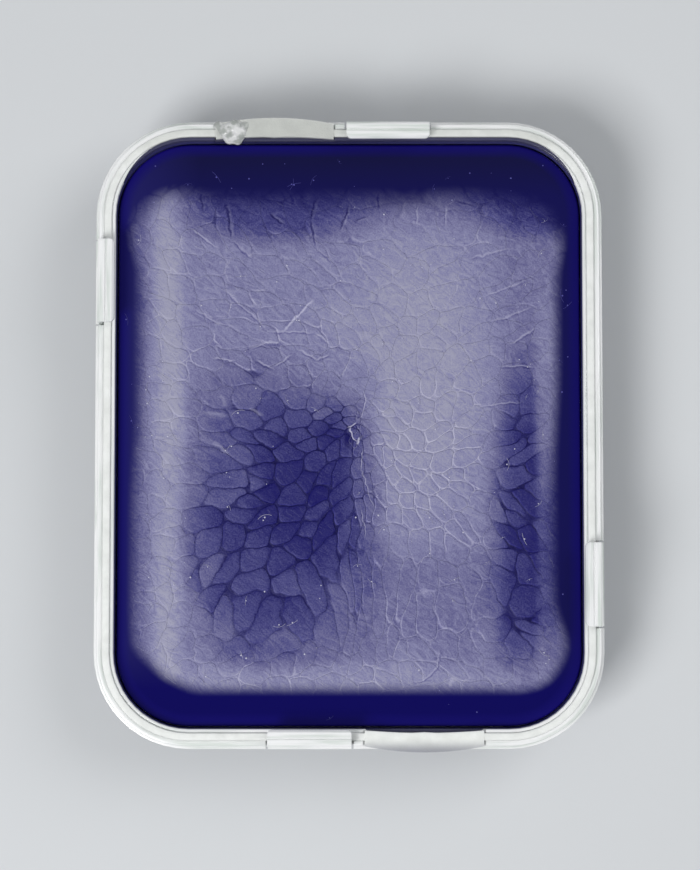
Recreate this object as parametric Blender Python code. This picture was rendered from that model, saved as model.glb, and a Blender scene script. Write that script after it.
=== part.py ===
"""Pocket wet palette: a clear tray with a soaked sponge and a palette sheet, standing on its own lid.

Metres, +Z up. The origin is on the table, under the middle of the palette. +Y is the far short side.
"""

import math

import bmesh
import bpy
from mathutils import Matrix, Vector, noise

MM = 0.001

# Mouth of the tray: every outline is an offset of this rounded rectangle, outwards positive
MOUTH_WIDTH = 93.6 * MM
MOUTH_LENGTH = 117.6 * MM
MOUTH_CORNER_RADIUS = 15.0 * MM
CORNER_STEPS = 12

# Clearances
SEAT_GAP = 0.3 * MM
SEAL_GAP = 0.15 * MM
LID_CLEARANCE = 0.4 * MM
PIVOT_CLEARANCE = 0.25 * MM
CATCH_END_CLEARANCE = 0.4 * MM

# Lid
LID_PANEL = 1.5 * MM
LID_PLUG_HEIGHT = 2.2 * MM
LID_PLUG_WALL = 1.4 * MM
LID_LIP_HEIGHT = 1.0 * MM
LID_LIP_WALL = 0.9 * MM
LID_EDGE_ROUND = 0.35 * MM

# Tray
TRAY_HEIGHT = 16.0 * MM
TRAY_FLOOR = 1.6 * MM
TRAY_WALL = 1.1 * MM
TRAY_DRAFT = 0.6 * MM
TRAY_INNER_FILLET = 1.2 * MM
TRAY_FOOT_FILLET = 1.4 * MM
INNER_LIP = 0.7 * MM
SEAL_GROOVE_WIDTH = 1.5 * MM
SEAL_GROOVE_DEPTH = 1.6 * MM
RIM_WEB = 1.2 * MM
OUTER_LIP = 1.1 * MM
SKIRT_STEP_WIDTH = 0.7 * MM
SKIRT_STEP_DROP = 1.4 * MM
SKIRT_WALL = 1.1 * MM
SKIRT_DEPTH = 6.0 * MM
RIM_ROUND = 0.2 * MM

# Rim seal and its two pull tabs
SEAL_PROUD = 0.5 * MM
SEAL_SQUEEZE = 0.1 * MM
SEAL_ROUND = 0.25 * MM
PULL_TAB_LENGTH = 23.6 * MM
PULL_TAB_THICKNESS = 1.0 * MM
PULL_TAB_PROUD = 0.6 * MM
PULL_TAB_INSET = 0.2 * MM
PULL_TAB_INNER_BOW = 0.5 * MM
PULL_TAB_OUTER_BOW = 1.2 * MM
PULL_TAB_STEPS = 10

# Spring catches, one on each side
CATCH_LENGTH = 16.6 * MM
CATCH_FROM_MIDDLE_LONG = 30.2 * MM
CATCH_FROM_MIDDLE_SHORT = 7.8 * MM
CATCH_HOOK_THICKNESS = 1.2 * MM
CATCH_HOOK_OVERHANG = 0.05 * MM
CATCH_LEAD_IN = 0.45 * MM
CATCH_BARREL_RADIUS = 1.0 * MM
CATCH_PIN_RADIUS = 0.6 * MM
CATCH_PIN_ENGAGEMENT = 1.1 * MM
CATCH_AXIS_INSET = 1.3 * MM
CATCH_AXIS_DROP = 4.6 * MM
CATCH_STRIPE_WIDTH = 0.4 * MM
CATCH_STRIPE_DEPTH = 0.25 * MM
CATCH_CORNER_RADIUS = 0.9 * MM
EAR_LENGTH = 2.5 * MM
EAR_BURIED = 0.35 * MM
EAR_INSET = 0.35 * MM
EAR_SETBACK = 0.05 * MM
POST_WIDTH = 2.6 * MM

# Sponge and palette sheet
SPONGE_THICKNESS = 11.0 * MM
SPONGE_EDGE_ROUND = 1.3 * MM
SHEET_THICKNESS = 0.4 * MM
SHEET_CLEARANCE = 0.4 * MM
SHEET_GRID = 2.7 * MM
SHEET_MARGIN = 7.0 * MM
SHEET_MARGIN_FADE = 6.0 * MM
COCKLE_HEIGHT = 0.45 * MM
COCKLE_SIZE = 9.0 * MM
COCKLE_STEEPNESS = 2.0
COCKLE_GATHER = 0.65
COCKLE_REACH = 45.0 * MM
GATHER_POINT = Vector((1.2, 1.6)) * MM

# Heights above the table, from the pieces stacked under them
LID_TOP_Z = LID_PLUG_HEIGHT + LID_PANEL
TRAY_BASE_Z = LID_TOP_Z + SEAT_GAP
FLOOR_Z = TRAY_BASE_Z + TRAY_FLOOR
RIM_Z = TRAY_BASE_Z + TRAY_HEIGHT
SPONGE_BASE_Z = FLOOR_Z + SEAT_GAP
SPONGE_TOP_Z = SPONGE_BASE_Z + SPONGE_THICKNESS
SHEET_BASE_Z = SPONGE_TOP_Z + SEAT_GAP
SHEET_TOP_Z = SHEET_BASE_Z + SHEET_THICKNESS

# Offsets across the rim, from the mouth outwards
GROOVE_IN = INNER_LIP
GROOVE_OUT = GROOVE_IN + SEAL_GROOVE_WIDTH
RIM_OUT = GROOVE_OUT + OUTER_LIP
SKIRT_OUT = RIM_OUT + SKIRT_STEP_WIDTH
SKIRT_IN = SKIRT_OUT - SKIRT_WALL
WEB_Z = RIM_Z - SEAL_GROOVE_DEPTH - RIM_WEB
SKIRT_BASE_Z = RIM_Z - SKIRT_DEPTH

# The catch passes through a notch that opens the groove's outer side
NOTCH_OVERCUT = 0.1 * MM
NOTCH_IN = GROOVE_OUT - NOTCH_OVERCUT
CATCH_STEM_IN = NOTCH_IN + SEAT_GAP
CATCH_AXIS_OFFSET = SKIRT_OUT - CATCH_AXIS_INSET
CATCH_AXIS_Z = RIM_Z - CATCH_AXIS_DROP
LID_SLOT = SEAL_PROUD - SEAL_SQUEEZE + LID_PANEL
LID_OUT = NOTCH_IN

# Pull tab lies in a shallow recess across the rim, next to the short sides' catches
PULL_TAB_RECESS = PULL_TAB_THICKNESS - PULL_TAB_PROUD + SEAT_GAP
PULL_TAB_FROM_MIDDLE = (
    -CATCH_FROM_MIDDLE_SHORT + CATCH_LENGTH / 2 + POST_WIDTH + PULL_TAB_LENGTH / 2
)

# Construction: cutters overshoot by the margin, and a swept section runs flat before its middle is filled
CUT_MARGIN = 1.0 * MM
FLAT_RUN = 2.0 * MM
WELD = 0.001 * MM
ROUND_STEPS = 3
RIM_ROUND_STEPS = 2
BARREL_STEPS = 12
CATCH_CORNER_STEPS = 4
PIN_SEGMENTS = 16
SMOOTH_BELOW = math.radians(30)


def wall_offset(z):
    """Offset of the tray's drafted inner wall from the mouth, at height z."""
    return -TRAY_DRAFT * (RIM_Z - z) / TRAY_HEIGHT


def arc(centre, radius, start_deg, end_deg, steps=ROUND_STEPS):
    """Points of an arc in a section, from one angle to the other."""
    turn = [math.radians(start_deg + (end_deg - start_deg) * i / steps) for i in range(steps + 1)]
    return [(centre[0] + radius * math.cos(a), centre[1] + radius * math.sin(a)) for a in turn]


def clear_scene():
    for obj in list(bpy.data.objects):
        bpy.data.objects.remove(obj)


def collection(name, hidden=False):
    made = bpy.data.collections.new(name)
    bpy.context.scene.collection.children.link(made)
    made.hide_render = hidden
    return made


def plastic(name, colour, roughness, alpha=1.0):
    """A Principled material in the piece's own colour."""
    made = bpy.data.materials.new(name)
    made.use_nodes = True
    shader = made.node_tree.nodes["Principled BSDF"]
    shader.inputs["Base Color"].default_value = (*colour, 1.0)
    shader.inputs["Roughness"].default_value = roughness
    shader.inputs["Metallic"].default_value = 0.0
    shader.inputs["Alpha"].default_value = alpha
    return made


def add_object(name, mesh, group, material=None):
    obj = bpy.data.objects.new(name, mesh)
    group.objects.link(obj)
    if material:
        mesh.materials.clear()
        mesh.materials.append(material)
    return obj


def add_cutter(name, mesh):
    obj = add_object(name, mesh, CUTTERS)
    obj.hide_render = True
    obj.display_type = "WIRE"
    return obj


def combine(target, tool, operation):
    modifier = target.modifiers.new(f"{operation.lower()} {tool.name}", "BOOLEAN")
    modifier.operation = operation
    modifier.object = tool


def curve_mesh(curve):
    """The mesh of a curve, welded, with the curve itself removed."""
    bpy.context.view_layer.update()
    graph = bpy.context.evaluated_depsgraph_get()
    mesh = bpy.data.meshes.new_from_object(curve.evaluated_get(graph))
    data = curve.data
    bpy.data.objects.remove(curve)
    bpy.data.curves.remove(data)
    work = bmesh.new()
    work.from_mesh(mesh)
    bmesh.ops.remove_doubles(work, verts=work.verts, dist=WELD)
    work.to_mesh(mesh)
    work.free()
    return mesh


def poly_curve(name, points, cyclic, dimensions):
    """A curve object of straight runs through points of two or three coordinates."""
    data = bpy.data.curves.new(name, "CURVE")
    data.dimensions = dimensions
    spline = data.splines.new("POLY")
    spline.points.add(len(points) - 1)
    for slot, point in zip(spline.points, points):
        slot.co = (*point, *([0.0] * (3 - len(point))), 1.0)
    spline.use_cyclic_u = cyclic
    obj = bpy.data.objects.new(name, data)
    CUTTERS.objects.link(obj)
    return obj


def mouth_outline(offset=0.0):
    """Rounded rectangle of the tray's mouth, grown by offset, anticlockwise from above."""
    radius = MOUTH_CORNER_RADIUS + offset
    across = MOUTH_WIDTH / 2 - MOUTH_CORNER_RADIUS
    along = MOUTH_LENGTH / 2 - MOUTH_CORNER_RADIUS
    points = []
    for corner, (sx, sy) in enumerate(((1, 1), (-1, 1), (-1, -1), (1, -1))):
        start = 90 * corner
        points += arc((sx * across, sy * along), radius, start, start + 90, CORNER_STEPS)
    return points


def sweep(name, section, closed):
    """Mesh of a section, as (offset, height) points, carried round the mouth.

    An open section's two ends are filled, which closes the middle of a floor or a pad.
    """
    profile = poly_curve(f"{name}_section", section, closed, "2D")
    profile.data.fill_mode = "NONE"
    path = poly_curve(f"{name}_path", mouth_outline(), True, "3D")
    path.data.twist_mode = "Z_UP"
    path.data.bevel_mode = "OBJECT"
    path.data.bevel_object = profile
    mesh = curve_mesh(path)
    profile_data = profile.data
    bpy.data.objects.remove(profile)
    bpy.data.curves.remove(profile_data)
    work = bmesh.new()
    work.from_mesh(mesh)
    if not closed:
        bmesh.ops.holes_fill(work, edges=[e for e in work.edges if e.is_boundary], sides=0)
    bmesh.ops.recalc_face_normals(work, faces=work.faces)
    work.to_mesh(mesh)
    work.free()
    mesh.name = name
    return mesh


def prism(name, outline, low, high):
    """Mesh of a flat outline, in x and y, extruded from one height to another."""
    curve = poly_curve(name, outline, True, "2D")
    curve.data.fill_mode = "BOTH"
    curve.data.extrude = (high - low) / 2
    mesh = curve_mesh(curve)
    mesh.transform(Matrix.Translation((0, 0, (low + high) / 2)))
    mesh.name = name
    return mesh


def joined(meshes):
    """One mesh that holds several separate bodies."""
    work = bmesh.new()
    for mesh in meshes:
        work.from_mesh(mesh)
        bpy.data.meshes.remove(mesh)
    bmesh.ops.recalc_face_normals(work, faces=work.faces)
    made = bpy.data.meshes.new("joined")
    work.to_mesh(made)
    work.free()
    return made


def box(low, high, place):
    """Mesh of a box between two corners of a side's own frame."""
    work = bmesh.new()
    size = Vector(high) - Vector(low)
    middle = (Vector(high) + Vector(low)) / 2
    fitted = place @ Matrix.Translation(middle) @ Matrix.Diagonal((*size, 1))
    bmesh.ops.create_cube(work, size=1.0, matrix=fitted)
    mesh = bpy.data.meshes.new("box")
    work.to_mesh(mesh)
    work.free()
    return mesh


def rod(radius, length, place):
    """Mesh of a cylinder along a side, centred on its frame."""
    work = bmesh.new()
    bmesh.ops.create_cone(
        work,
        cap_ends=True,
        segments=PIN_SEGMENTS,
        radius1=radius,
        radius2=radius,
        depth=length,
        matrix=place @ Matrix.Rotation(math.radians(90), 4, "X"),
    )
    mesh = bpy.data.meshes.new("rod")
    work.to_mesh(mesh)
    work.free()
    return mesh


class Side:
    """One side of the mouth: x runs outwards from its edge, y along the side, z up from the table."""

    def __init__(self, name, turn_deg, half, catch_along, pull_tab_along=None):
        self.name = name
        self.turn = math.radians(turn_deg)
        self.half = half
        self.catch_along = catch_along
        self.pull_tab_along = pull_tab_along

    def frame(self, along=0.0, offset=0.0, z=0.0):
        return Matrix.Rotation(self.turn, 4, "Z") @ Matrix.Translation((self.half + offset, along, z))


SIDES = (
    Side("east", 0, MOUTH_WIDTH / 2, -CATCH_FROM_MIDDLE_LONG),
    Side("north", 90, MOUTH_LENGTH / 2, -CATCH_FROM_MIDDLE_SHORT, PULL_TAB_FROM_MIDDLE),
    Side("west", 180, MOUTH_WIDTH / 2, -CATCH_FROM_MIDDLE_LONG),
    Side("south", 270, MOUTH_LENGTH / 2, -CATCH_FROM_MIDDLE_SHORT, PULL_TAB_FROM_MIDDLE),
)
PULL_TAB_SIDES = tuple(side for side in SIDES if side.pull_tab_along is not None)
NOTCH_HALF = CATCH_LENGTH / 2 + CATCH_END_CLEARANCE


def lid():
    """Flat lid: a plug ring fits the mouth below, and a lip above takes the tray's foot."""
    foot = TRAY_WALL - TRAY_DRAFT
    lip_in = foot + LID_CLEARANCE
    lip_out = lip_in + LID_LIP_WALL
    lip_z = LID_TOP_Z + LID_LIP_HEIGHT
    plug_out = -LID_CLEARANCE
    plug_in = plug_out - LID_PLUG_WALL
    panel_end = plug_in - FLAT_RUN
    edge = LID_EDGE_ROUND
    section = [
        (panel_end, LID_TOP_Z),
        (lip_in, LID_TOP_Z),
        (lip_in, lip_z - edge),
        *arc((lip_in + edge, lip_z - edge), edge, 180, 90),
        *arc((lip_out - edge, lip_z - edge), edge, 90, 0),
        (lip_out, LID_TOP_Z),
        *arc((LID_OUT - edge, LID_TOP_Z - edge), edge, 90, 0),
        *arc((LID_OUT - edge, LID_PLUG_HEIGHT + edge), edge, 0, -90),
        (plug_out, LID_PLUG_HEIGHT),
        *arc((plug_out - edge, edge), edge, 0, -90),
        *arc((plug_in + edge, edge), edge, -90, -180),
        (plug_in, LID_PLUG_HEIGHT),
        (panel_end, LID_PLUG_HEIGHT),
    ]
    return add_object("lid", sweep("lid", section, False), PALETTE, CLEAR_PLASTIC)


def tray():
    """Tray moulding: drafted wall, grooved rim, stepped skirt, and the ears that carry the catches."""
    foot_in = wall_offset(TRAY_BASE_Z)
    foot_out = TRAY_WALL + foot_in
    fillet_z = FLOOR_Z + TRAY_INNER_FILLET
    fillet_in = wall_offset(fillet_z) - TRAY_INNER_FILLET
    floor_end = fillet_in - FLAT_RUN
    groove_z = RIM_Z - SEAL_GROOVE_DEPTH
    step_z = RIM_Z - SKIRT_STEP_DROP
    edge = RIM_ROUND
    section = [
        (floor_end, FLOOR_Z),
        *arc((fillet_in, fillet_z), TRAY_INNER_FILLET, -90, 0),
        *arc((edge, RIM_Z - edge), edge, 180, 90, RIM_ROUND_STEPS),
        *arc((GROOVE_IN - edge, RIM_Z - edge), edge, 90, 0, RIM_ROUND_STEPS),
        (GROOVE_IN, groove_z),
        (GROOVE_OUT, groove_z),
        *arc((GROOVE_OUT + edge, RIM_Z - edge), edge, 180, 90, RIM_ROUND_STEPS),
        *arc((RIM_OUT - edge, RIM_Z - edge), edge, 90, 0, RIM_ROUND_STEPS),
        (RIM_OUT, step_z),
        *arc((SKIRT_OUT - edge, step_z - edge), edge, 90, 0, RIM_ROUND_STEPS),
        (SKIRT_OUT, SKIRT_BASE_Z),
        (SKIRT_IN, SKIRT_BASE_Z),
        (SKIRT_IN, WEB_Z),
        (TRAY_WALL, WEB_Z),
        *arc((foot_out - TRAY_FOOT_FILLET, TRAY_BASE_Z + TRAY_FOOT_FILLET), TRAY_FOOT_FILLET, 0, -90),
        (floor_end, TRAY_BASE_Z),
    ]
    shell = add_object("tray", sweep("tray", section, False), PALETTE, CLEAR_PLASTIC)
    combine(shell, add_cutter("catch_notches", joined(catch_notches())), "DIFFERENCE")
    combine(shell, add_cutter("ears", joined(ears())), "UNION")
    combine(shell, add_cutter("pivot_holes", joined(pivot_holes())), "DIFFERENCE")
    combine(shell, add_cutter("tab_recesses", joined(tab_recesses())), "DIFFERENCE")
    return shell


def ears():
    """Blocks under the rim, at both ends of each notch, that hold the catches' pins."""
    ear_in = TRAY_WALL - EAR_BURIED
    ear_top = WEB_Z + EAR_BURIED
    for side in SIDES:
        for end in (-1, 1):
            near = side.catch_along + end * (NOTCH_HALF + EAR_SETBACK)
            far = near + end * EAR_LENGTH
            low = (ear_in, min(near, far), SKIRT_BASE_Z + EAR_INSET)
            high = (SKIRT_OUT - EAR_INSET, max(near, far), ear_top)
            yield box(low, high, side.frame())


def catch_notches():
    for side in SIDES:
        low = (NOTCH_IN, side.catch_along - NOTCH_HALF, SKIRT_BASE_Z - CUT_MARGIN)
        high = (SKIRT_OUT + CUT_MARGIN, side.catch_along + NOTCH_HALF, RIM_Z + CUT_MARGIN)
        yield box(low, high, side.frame())


def pivot_holes():
    reach = CATCH_LENGTH + 2 * (CATCH_END_CLEARANCE + CATCH_PIN_ENGAGEMENT + SEAT_GAP)
    for side in SIDES:
        place = side.frame(side.catch_along, CATCH_AXIS_OFFSET, CATCH_AXIS_Z)
        yield rod(CATCH_PIN_RADIUS + PIVOT_CLEARANCE, reach, place)


def tab_recesses():
    half = PULL_TAB_LENGTH / 2 + SEAT_GAP
    for side in PULL_TAB_SIDES:
        low = (-CUT_MARGIN, side.pull_tab_along - half, RIM_Z - PULL_TAB_RECESS)
        high = (SKIRT_OUT + CUT_MARGIN, side.pull_tab_along + half, RIM_Z + CUT_MARGIN)
        yield box(low, high, side.frame())


def rim_seal():
    """Silicone ring in the rim's groove, with two pull tabs that bow out over the skirt."""
    seal_in = GROOVE_IN + SEAL_GAP
    seal_out = GROOVE_OUT - SEAL_GAP
    base = RIM_Z - SEAL_GROOVE_DEPTH + SEAL_GAP
    top = RIM_Z + SEAL_PROUD
    edge = SEAL_ROUND
    section = [
        (seal_in, base),
        (seal_in, top - edge),
        *arc((seal_in + edge, top - edge), edge, 180, 90),
        *arc((seal_out - edge, top - edge), edge, 90, 0),
        (seal_out, base),
    ]
    ring = add_object("rim_seal", sweep("rim_seal", section, True), PALETTE, SILICONE)
    combine(ring, add_cutter("pull_tabs", joined(pull_tabs())), "UNION")
    return ring


def pull_tabs():
    low = RIM_Z + PULL_TAB_PROUD - PULL_TAB_THICKNESS
    high = RIM_Z + PULL_TAB_PROUD
    half = PULL_TAB_LENGTH / 2
    run = [-1 + 2 * i / PULL_TAB_STEPS for i in range(PULL_TAB_STEPS + 1)]
    inner = [(PULL_TAB_INSET + PULL_TAB_INNER_BOW * (1 - t * t), half * t) for t in run]
    outer = [(RIM_OUT + PULL_TAB_OUTER_BOW * (1 - t * t), half * t) for t in reversed(run)]
    for side in PULL_TAB_SIDES:
        mesh = prism("pull_tab", inner + outer, low, high)
        mesh.transform(side.frame(side.pull_tab_along))
        yield mesh


def catch_mesh():
    """Catch about its pin: barrel, stem through the notch, and a hook that reaches over the lid's edge."""
    barrel = CATCH_BARREL_RADIUS
    hook_in = -CATCH_HOOK_OVERHANG - CATCH_AXIS_OFFSET
    stem_in = CATCH_STEM_IN - CATCH_AXIS_OFFSET
    stem_out = RIM_OUT - CATCH_AXIS_OFFSET
    ledge_out = SKIRT_OUT - CATCH_AXIS_OFFSET
    ledge_z = CATCH_AXIS_DROP - SKIRT_STEP_DROP
    hook_low = CATCH_AXIS_DROP + LID_SLOT
    hook_top = hook_low + CATCH_HOOK_THICKNESS
    stripe = (hook_in + stem_out) / 2
    lead = CATCH_LEAD_IN
    leave = math.degrees(math.acos(stem_in / barrel))
    section = [
        *arc((0, 0), barrel, leave, 360, BARREL_STEPS),
        (ledge_out, barrel / 2),
        (ledge_out, ledge_z),
        (stem_out, ledge_z),
        (stem_out, hook_top - lead),
        (stem_out - lead, hook_top),
        (stripe + CATCH_STRIPE_WIDTH / 2, hook_top),
        (stripe + CATCH_STRIPE_WIDTH / 2, hook_top - CATCH_STRIPE_DEPTH),
        (stripe - CATCH_STRIPE_WIDTH / 2, hook_top - CATCH_STRIPE_DEPTH),
        (stripe - CATCH_STRIPE_WIDTH / 2, hook_top),
        (hook_in + lead, hook_top),
        (hook_in, hook_top - lead),
        (hook_in, hook_low),
        (stem_in, hook_low),
    ]
    bar = prism("catch", section, -CATCH_LENGTH / 2, CATCH_LENGTH / 2)
    bar.transform(Matrix.Rotation(math.radians(90), 4, "X"))
    bar_object = add_cutter("catch_bar", bar)
    reach = CATCH_LENGTH + 2 * (CATCH_END_CLEARANCE + CATCH_PIN_ENGAGEMENT)
    pin = rod(CATCH_PIN_RADIUS, reach, Matrix.Identity(4))
    combine(bar_object, add_cutter("catch_plan", catch_plan(hook_in, ledge_out, hook_top)), "INTERSECT")
    combine(bar_object, add_cutter("catch_pin", pin), "UNION")
    bpy.context.view_layer.update()
    graph = bpy.context.evaluated_depsgraph_get()
    return bpy.data.meshes.new_from_object(bar_object.evaluated_get(graph))


def catch_plan(hook_in, ledge_out, hook_top):
    """Plan of the catch, which rounds the hook's two inner corners."""
    radius = CATCH_CORNER_RADIUS
    half = CATCH_LENGTH / 2 + CUT_MARGIN
    end = CATCH_LENGTH / 2
    behind_barrel = -CATCH_BARREL_RADIUS - SEAT_GAP
    outline = [
        (ledge_out + CUT_MARGIN, -half),
        (ledge_out + CUT_MARGIN, half),
        (behind_barrel, half),
        *arc((hook_in + radius, end - radius), radius, 90, 180, CATCH_CORNER_STEPS),
        *arc((hook_in + radius, -end + radius), radius, 180, 270, CATCH_CORNER_STEPS),
        (behind_barrel, -half),
    ]
    return prism("catch_plan", outline, -CATCH_BARREL_RADIUS - CUT_MARGIN, hook_top + CUT_MARGIN)


def catches():
    """The four catches, each with its origin on its pin's axis."""
    mesh = catch_mesh()
    for side in SIDES:
        catch = add_object(f"catch_{side.name}", mesh, PALETTE, CLEAR_PLASTIC)
        place = side.frame(side.catch_along, CATCH_AXIS_OFFSET, CATCH_AXIS_Z)
        catch.location = place.translation
        catch.rotation_euler = (0, 0, side.turn)


def reservoir_sponge():
    """Foam pad that fills the tray, squeezed to the wall's draft, with soft edges."""
    edge = SPONGE_EDGE_ROUND
    top = wall_offset(SPONGE_TOP_Z) - SEAT_GAP
    base = wall_offset(SPONGE_BASE_Z) - SEAT_GAP
    flat_end = base - edge - FLAT_RUN
    section = [
        (flat_end, SPONGE_TOP_Z),
        *arc((top - edge, SPONGE_TOP_Z - edge), edge, 90, 0),
        *arc((base - edge, SPONGE_BASE_Z + edge), edge, 0, -90),
        (flat_end, SPONGE_BASE_Z),
    ]
    return add_object("reservoir_sponge", sweep("reservoir_sponge", section, False), PALETTE, SPONGE_FOAM)


def cockle(x, y, half_width, half_length):
    """Height of the wet sheet's cells, which crowd towards the point where the sheet has drawn together."""
    from_gather = Vector((x, y)) - GATHER_POINT
    reach = max(from_gather.length, SHEET_GRID)
    crowded = from_gather / COCKLE_SIZE * (reach / COCKLE_REACH) ** (COCKLE_GATHER - 1)
    nearest = noise.voronoi(Vector((crowded.x, crowded.y, 0)))[0]
    dome = min(1.0, COCKLE_STEEPNESS * (nearest[1] - nearest[0]))
    inside = min(half_width - abs(x), half_length - abs(y))
    fade = min(1.0, max(0.0, (inside - SHEET_MARGIN) / SHEET_MARGIN_FADE))
    return COCKLE_HEIGHT * dome * fade


def palette_sheet():
    """Soaked palette sheet on the sponge: flat at its margin, cockled into cells inside it."""
    outline = mouth_outline(wall_offset(SHEET_BASE_Z) - SHEET_CLEARANCE)
    half_width = max(x for x, _ in outline)
    half_length = max(y for _, y in outline)
    work = bmesh.new()
    bmesh.ops.create_grid(
        work,
        x_segments=round(2 * half_width / SHEET_GRID),
        y_segments=round(2 * half_length / SHEET_GRID),
        size=1.0,
        matrix=Matrix.Diagonal((half_width + CUT_MARGIN, half_length + CUT_MARGIN, 1, 1)),
    )
    for vert in work.verts:
        vert.co.z = SHEET_TOP_Z + cockle(vert.co.x, vert.co.y, half_width, half_length)
    rim = [edge for edge in work.edges if edge.is_boundary]
    walls = bmesh.ops.extrude_edge_only(work, edges=rim)["geom"]
    for vert in (item for item in walls if isinstance(item, bmesh.types.BMVert)):
        vert.co.z = SHEET_BASE_Z
    bmesh.ops.holes_fill(work, edges=[e for e in work.edges if e.is_boundary], sides=0)
    bmesh.ops.recalc_face_normals(work, faces=work.faces)
    mesh = bpy.data.meshes.new("palette_sheet")
    work.to_mesh(mesh)
    work.free()
    sheet = add_object("palette_sheet", mesh, PALETTE, WET_SHEET)
    trim = prism("sheet_trim", outline, SHEET_BASE_Z - CUT_MARGIN, SHEET_TOP_Z + CUT_MARGIN)
    combine(sheet, add_cutter("sheet_trim", trim), "INTERSECT")
    return sheet


clear_scene()
PALETTE = collection("wet_palette")
CUTTERS = collection("cutters", hidden=True)
CLEAR_PLASTIC = plastic("clear polystyrene", (0.86, 0.88, 0.87), 0.18, 0.45)
SILICONE = plastic("frosted silicone", (0.80, 0.81, 0.80), 0.55, 0.8)
SPONGE_FOAM = plastic("soaked blue foam", (0.010, 0.006, 0.115), 0.60)
WET_SHEET = plastic("soaked palette sheet", (0.20, 0.18, 0.40), 0.30)
lid()
tray()
rim_seal()
catches()
reservoir_sponge()
palette_sheet()
for part in PALETTE.objects:
    part.data.shade_smooth()
    part.data.set_sharp_from_angle(angle=SMOOTH_BELOW)
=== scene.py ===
"""Looks of a pocket wet palette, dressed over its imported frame.

Metres, +Z up, in the frame's own axes. The sections follow the palette as it is put together: lid, tray,
seal, catches, sponge and palette sheet, then what has settled on it, and last the stage.
"""

import math

import bmesh
import bpy
from mathutils import Matrix, Vector


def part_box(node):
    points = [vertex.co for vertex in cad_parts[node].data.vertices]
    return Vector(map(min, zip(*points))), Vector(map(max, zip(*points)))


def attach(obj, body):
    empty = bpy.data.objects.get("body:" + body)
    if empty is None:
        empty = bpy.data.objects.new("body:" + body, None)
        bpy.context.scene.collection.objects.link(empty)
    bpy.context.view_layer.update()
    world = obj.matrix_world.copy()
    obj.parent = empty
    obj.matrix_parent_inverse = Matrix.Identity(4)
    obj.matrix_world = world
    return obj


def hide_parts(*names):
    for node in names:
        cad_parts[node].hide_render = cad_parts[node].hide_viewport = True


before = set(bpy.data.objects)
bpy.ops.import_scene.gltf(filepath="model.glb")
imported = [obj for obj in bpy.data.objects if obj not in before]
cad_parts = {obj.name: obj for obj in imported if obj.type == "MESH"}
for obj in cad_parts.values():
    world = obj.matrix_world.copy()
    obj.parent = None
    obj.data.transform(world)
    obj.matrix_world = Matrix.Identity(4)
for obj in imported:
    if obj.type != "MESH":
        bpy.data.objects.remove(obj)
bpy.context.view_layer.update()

# Lid
# A flat clear moulding, stowed under the tray: its plug ring stands on the table and its low lip holds the
# tray's foot. Injection-moulded polystyrene leaves a polished mould clear, and its edges gather light.
MM = 0.001
PER_MM = 1000.0
WELD = 0.002 * MM
SMOOTH_BELOW = math.radians(35)
POLYSTYRENE_IOR = 1.59
FLOW_MM = 14.0
STREAK_MM = 0.9
SCUFF_MM = 0.5
MOUTH_HALF_MM = (46.8, 58.8)
MOUTH_CORNER_MM = 15.0
# The wet film inside the tray: where it starts and ends, and how the drafted inside is told from the outside
FILM_FROM_MM = 4.8
FILM_TOP_MM = 19.2
FILM_OVER_MM = 0.75
DRAFT_SLOPE = 0.6 / 16.0
INSIDE_MM = -0.35
PULL_TAB_MM = 14.9
scene = bpy.context.scene

# Kinds of node that serve in materials and in geometry alike
MATH = "ShaderNodeMath"
VECTOR = "ShaderNodeVectorMath"
RANGE = "ShaderNodeMapRange"
NOISE = "ShaderNodeTexNoise"
CELLS = "ShaderNodeTexVoronoi"
MIX = "ShaderNodeMix"
SPLIT = "ShaderNodeSeparateXYZ"
JOIN = "ShaderNodeCombineXYZ"
RAMP = "ShaderNodeValToRGB"


def linear(colour):
    """Linear RGBA of an sRGB hex colour."""
    shares = [int(colour[i : i + 2], 16) / 255 for i in (1, 3, 5)]
    return (*[s / 12.92 if s <= 0.04045 else ((s + 0.055) / 1.055) ** 2.4 for s in shares], 1.0)


def add_node(tree, kind, links=None, **settings):
    """One node: settings are its properties, and links its inputs, as values, sockets or other nodes."""
    made = tree.nodes.new(kind)
    for name, value in settings.items():
        setattr(made, name, value)
    for socket, value in (links or {}).items():
        if isinstance(value, bpy.types.Node):
            value = next(output for output in value.outputs if output.enabled)
        if isinstance(value, bpy.types.NodeSocket):
            tree.links.new(value, made.inputs[socket])
        else:
            made.inputs[socket].default_value = value
    return made


def new_material(name):
    """An empty material, its tree, and the object's own coordinates in mm."""
    made = bpy.data.materials.new(name)
    made.use_nodes = True
    tree = made.node_tree
    tree.nodes.clear()
    coords = add_node(tree, "ShaderNodeTexCoord").outputs["Object"]
    return made, tree, add_node(tree, VECTOR, {0: coords, "Scale": PER_MM}, operation="SCALE")


def finish(tree, **sockets):
    """The Principled shader that a material ends in, with its constants on its own sockets."""
    shader = add_node(tree, "ShaderNodeBsdfPrincipled", {name.replace("_", " "): v for name, v in sockets.items()})
    add_node(tree, "ShaderNodeOutputMaterial", {"Surface": shader})


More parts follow.
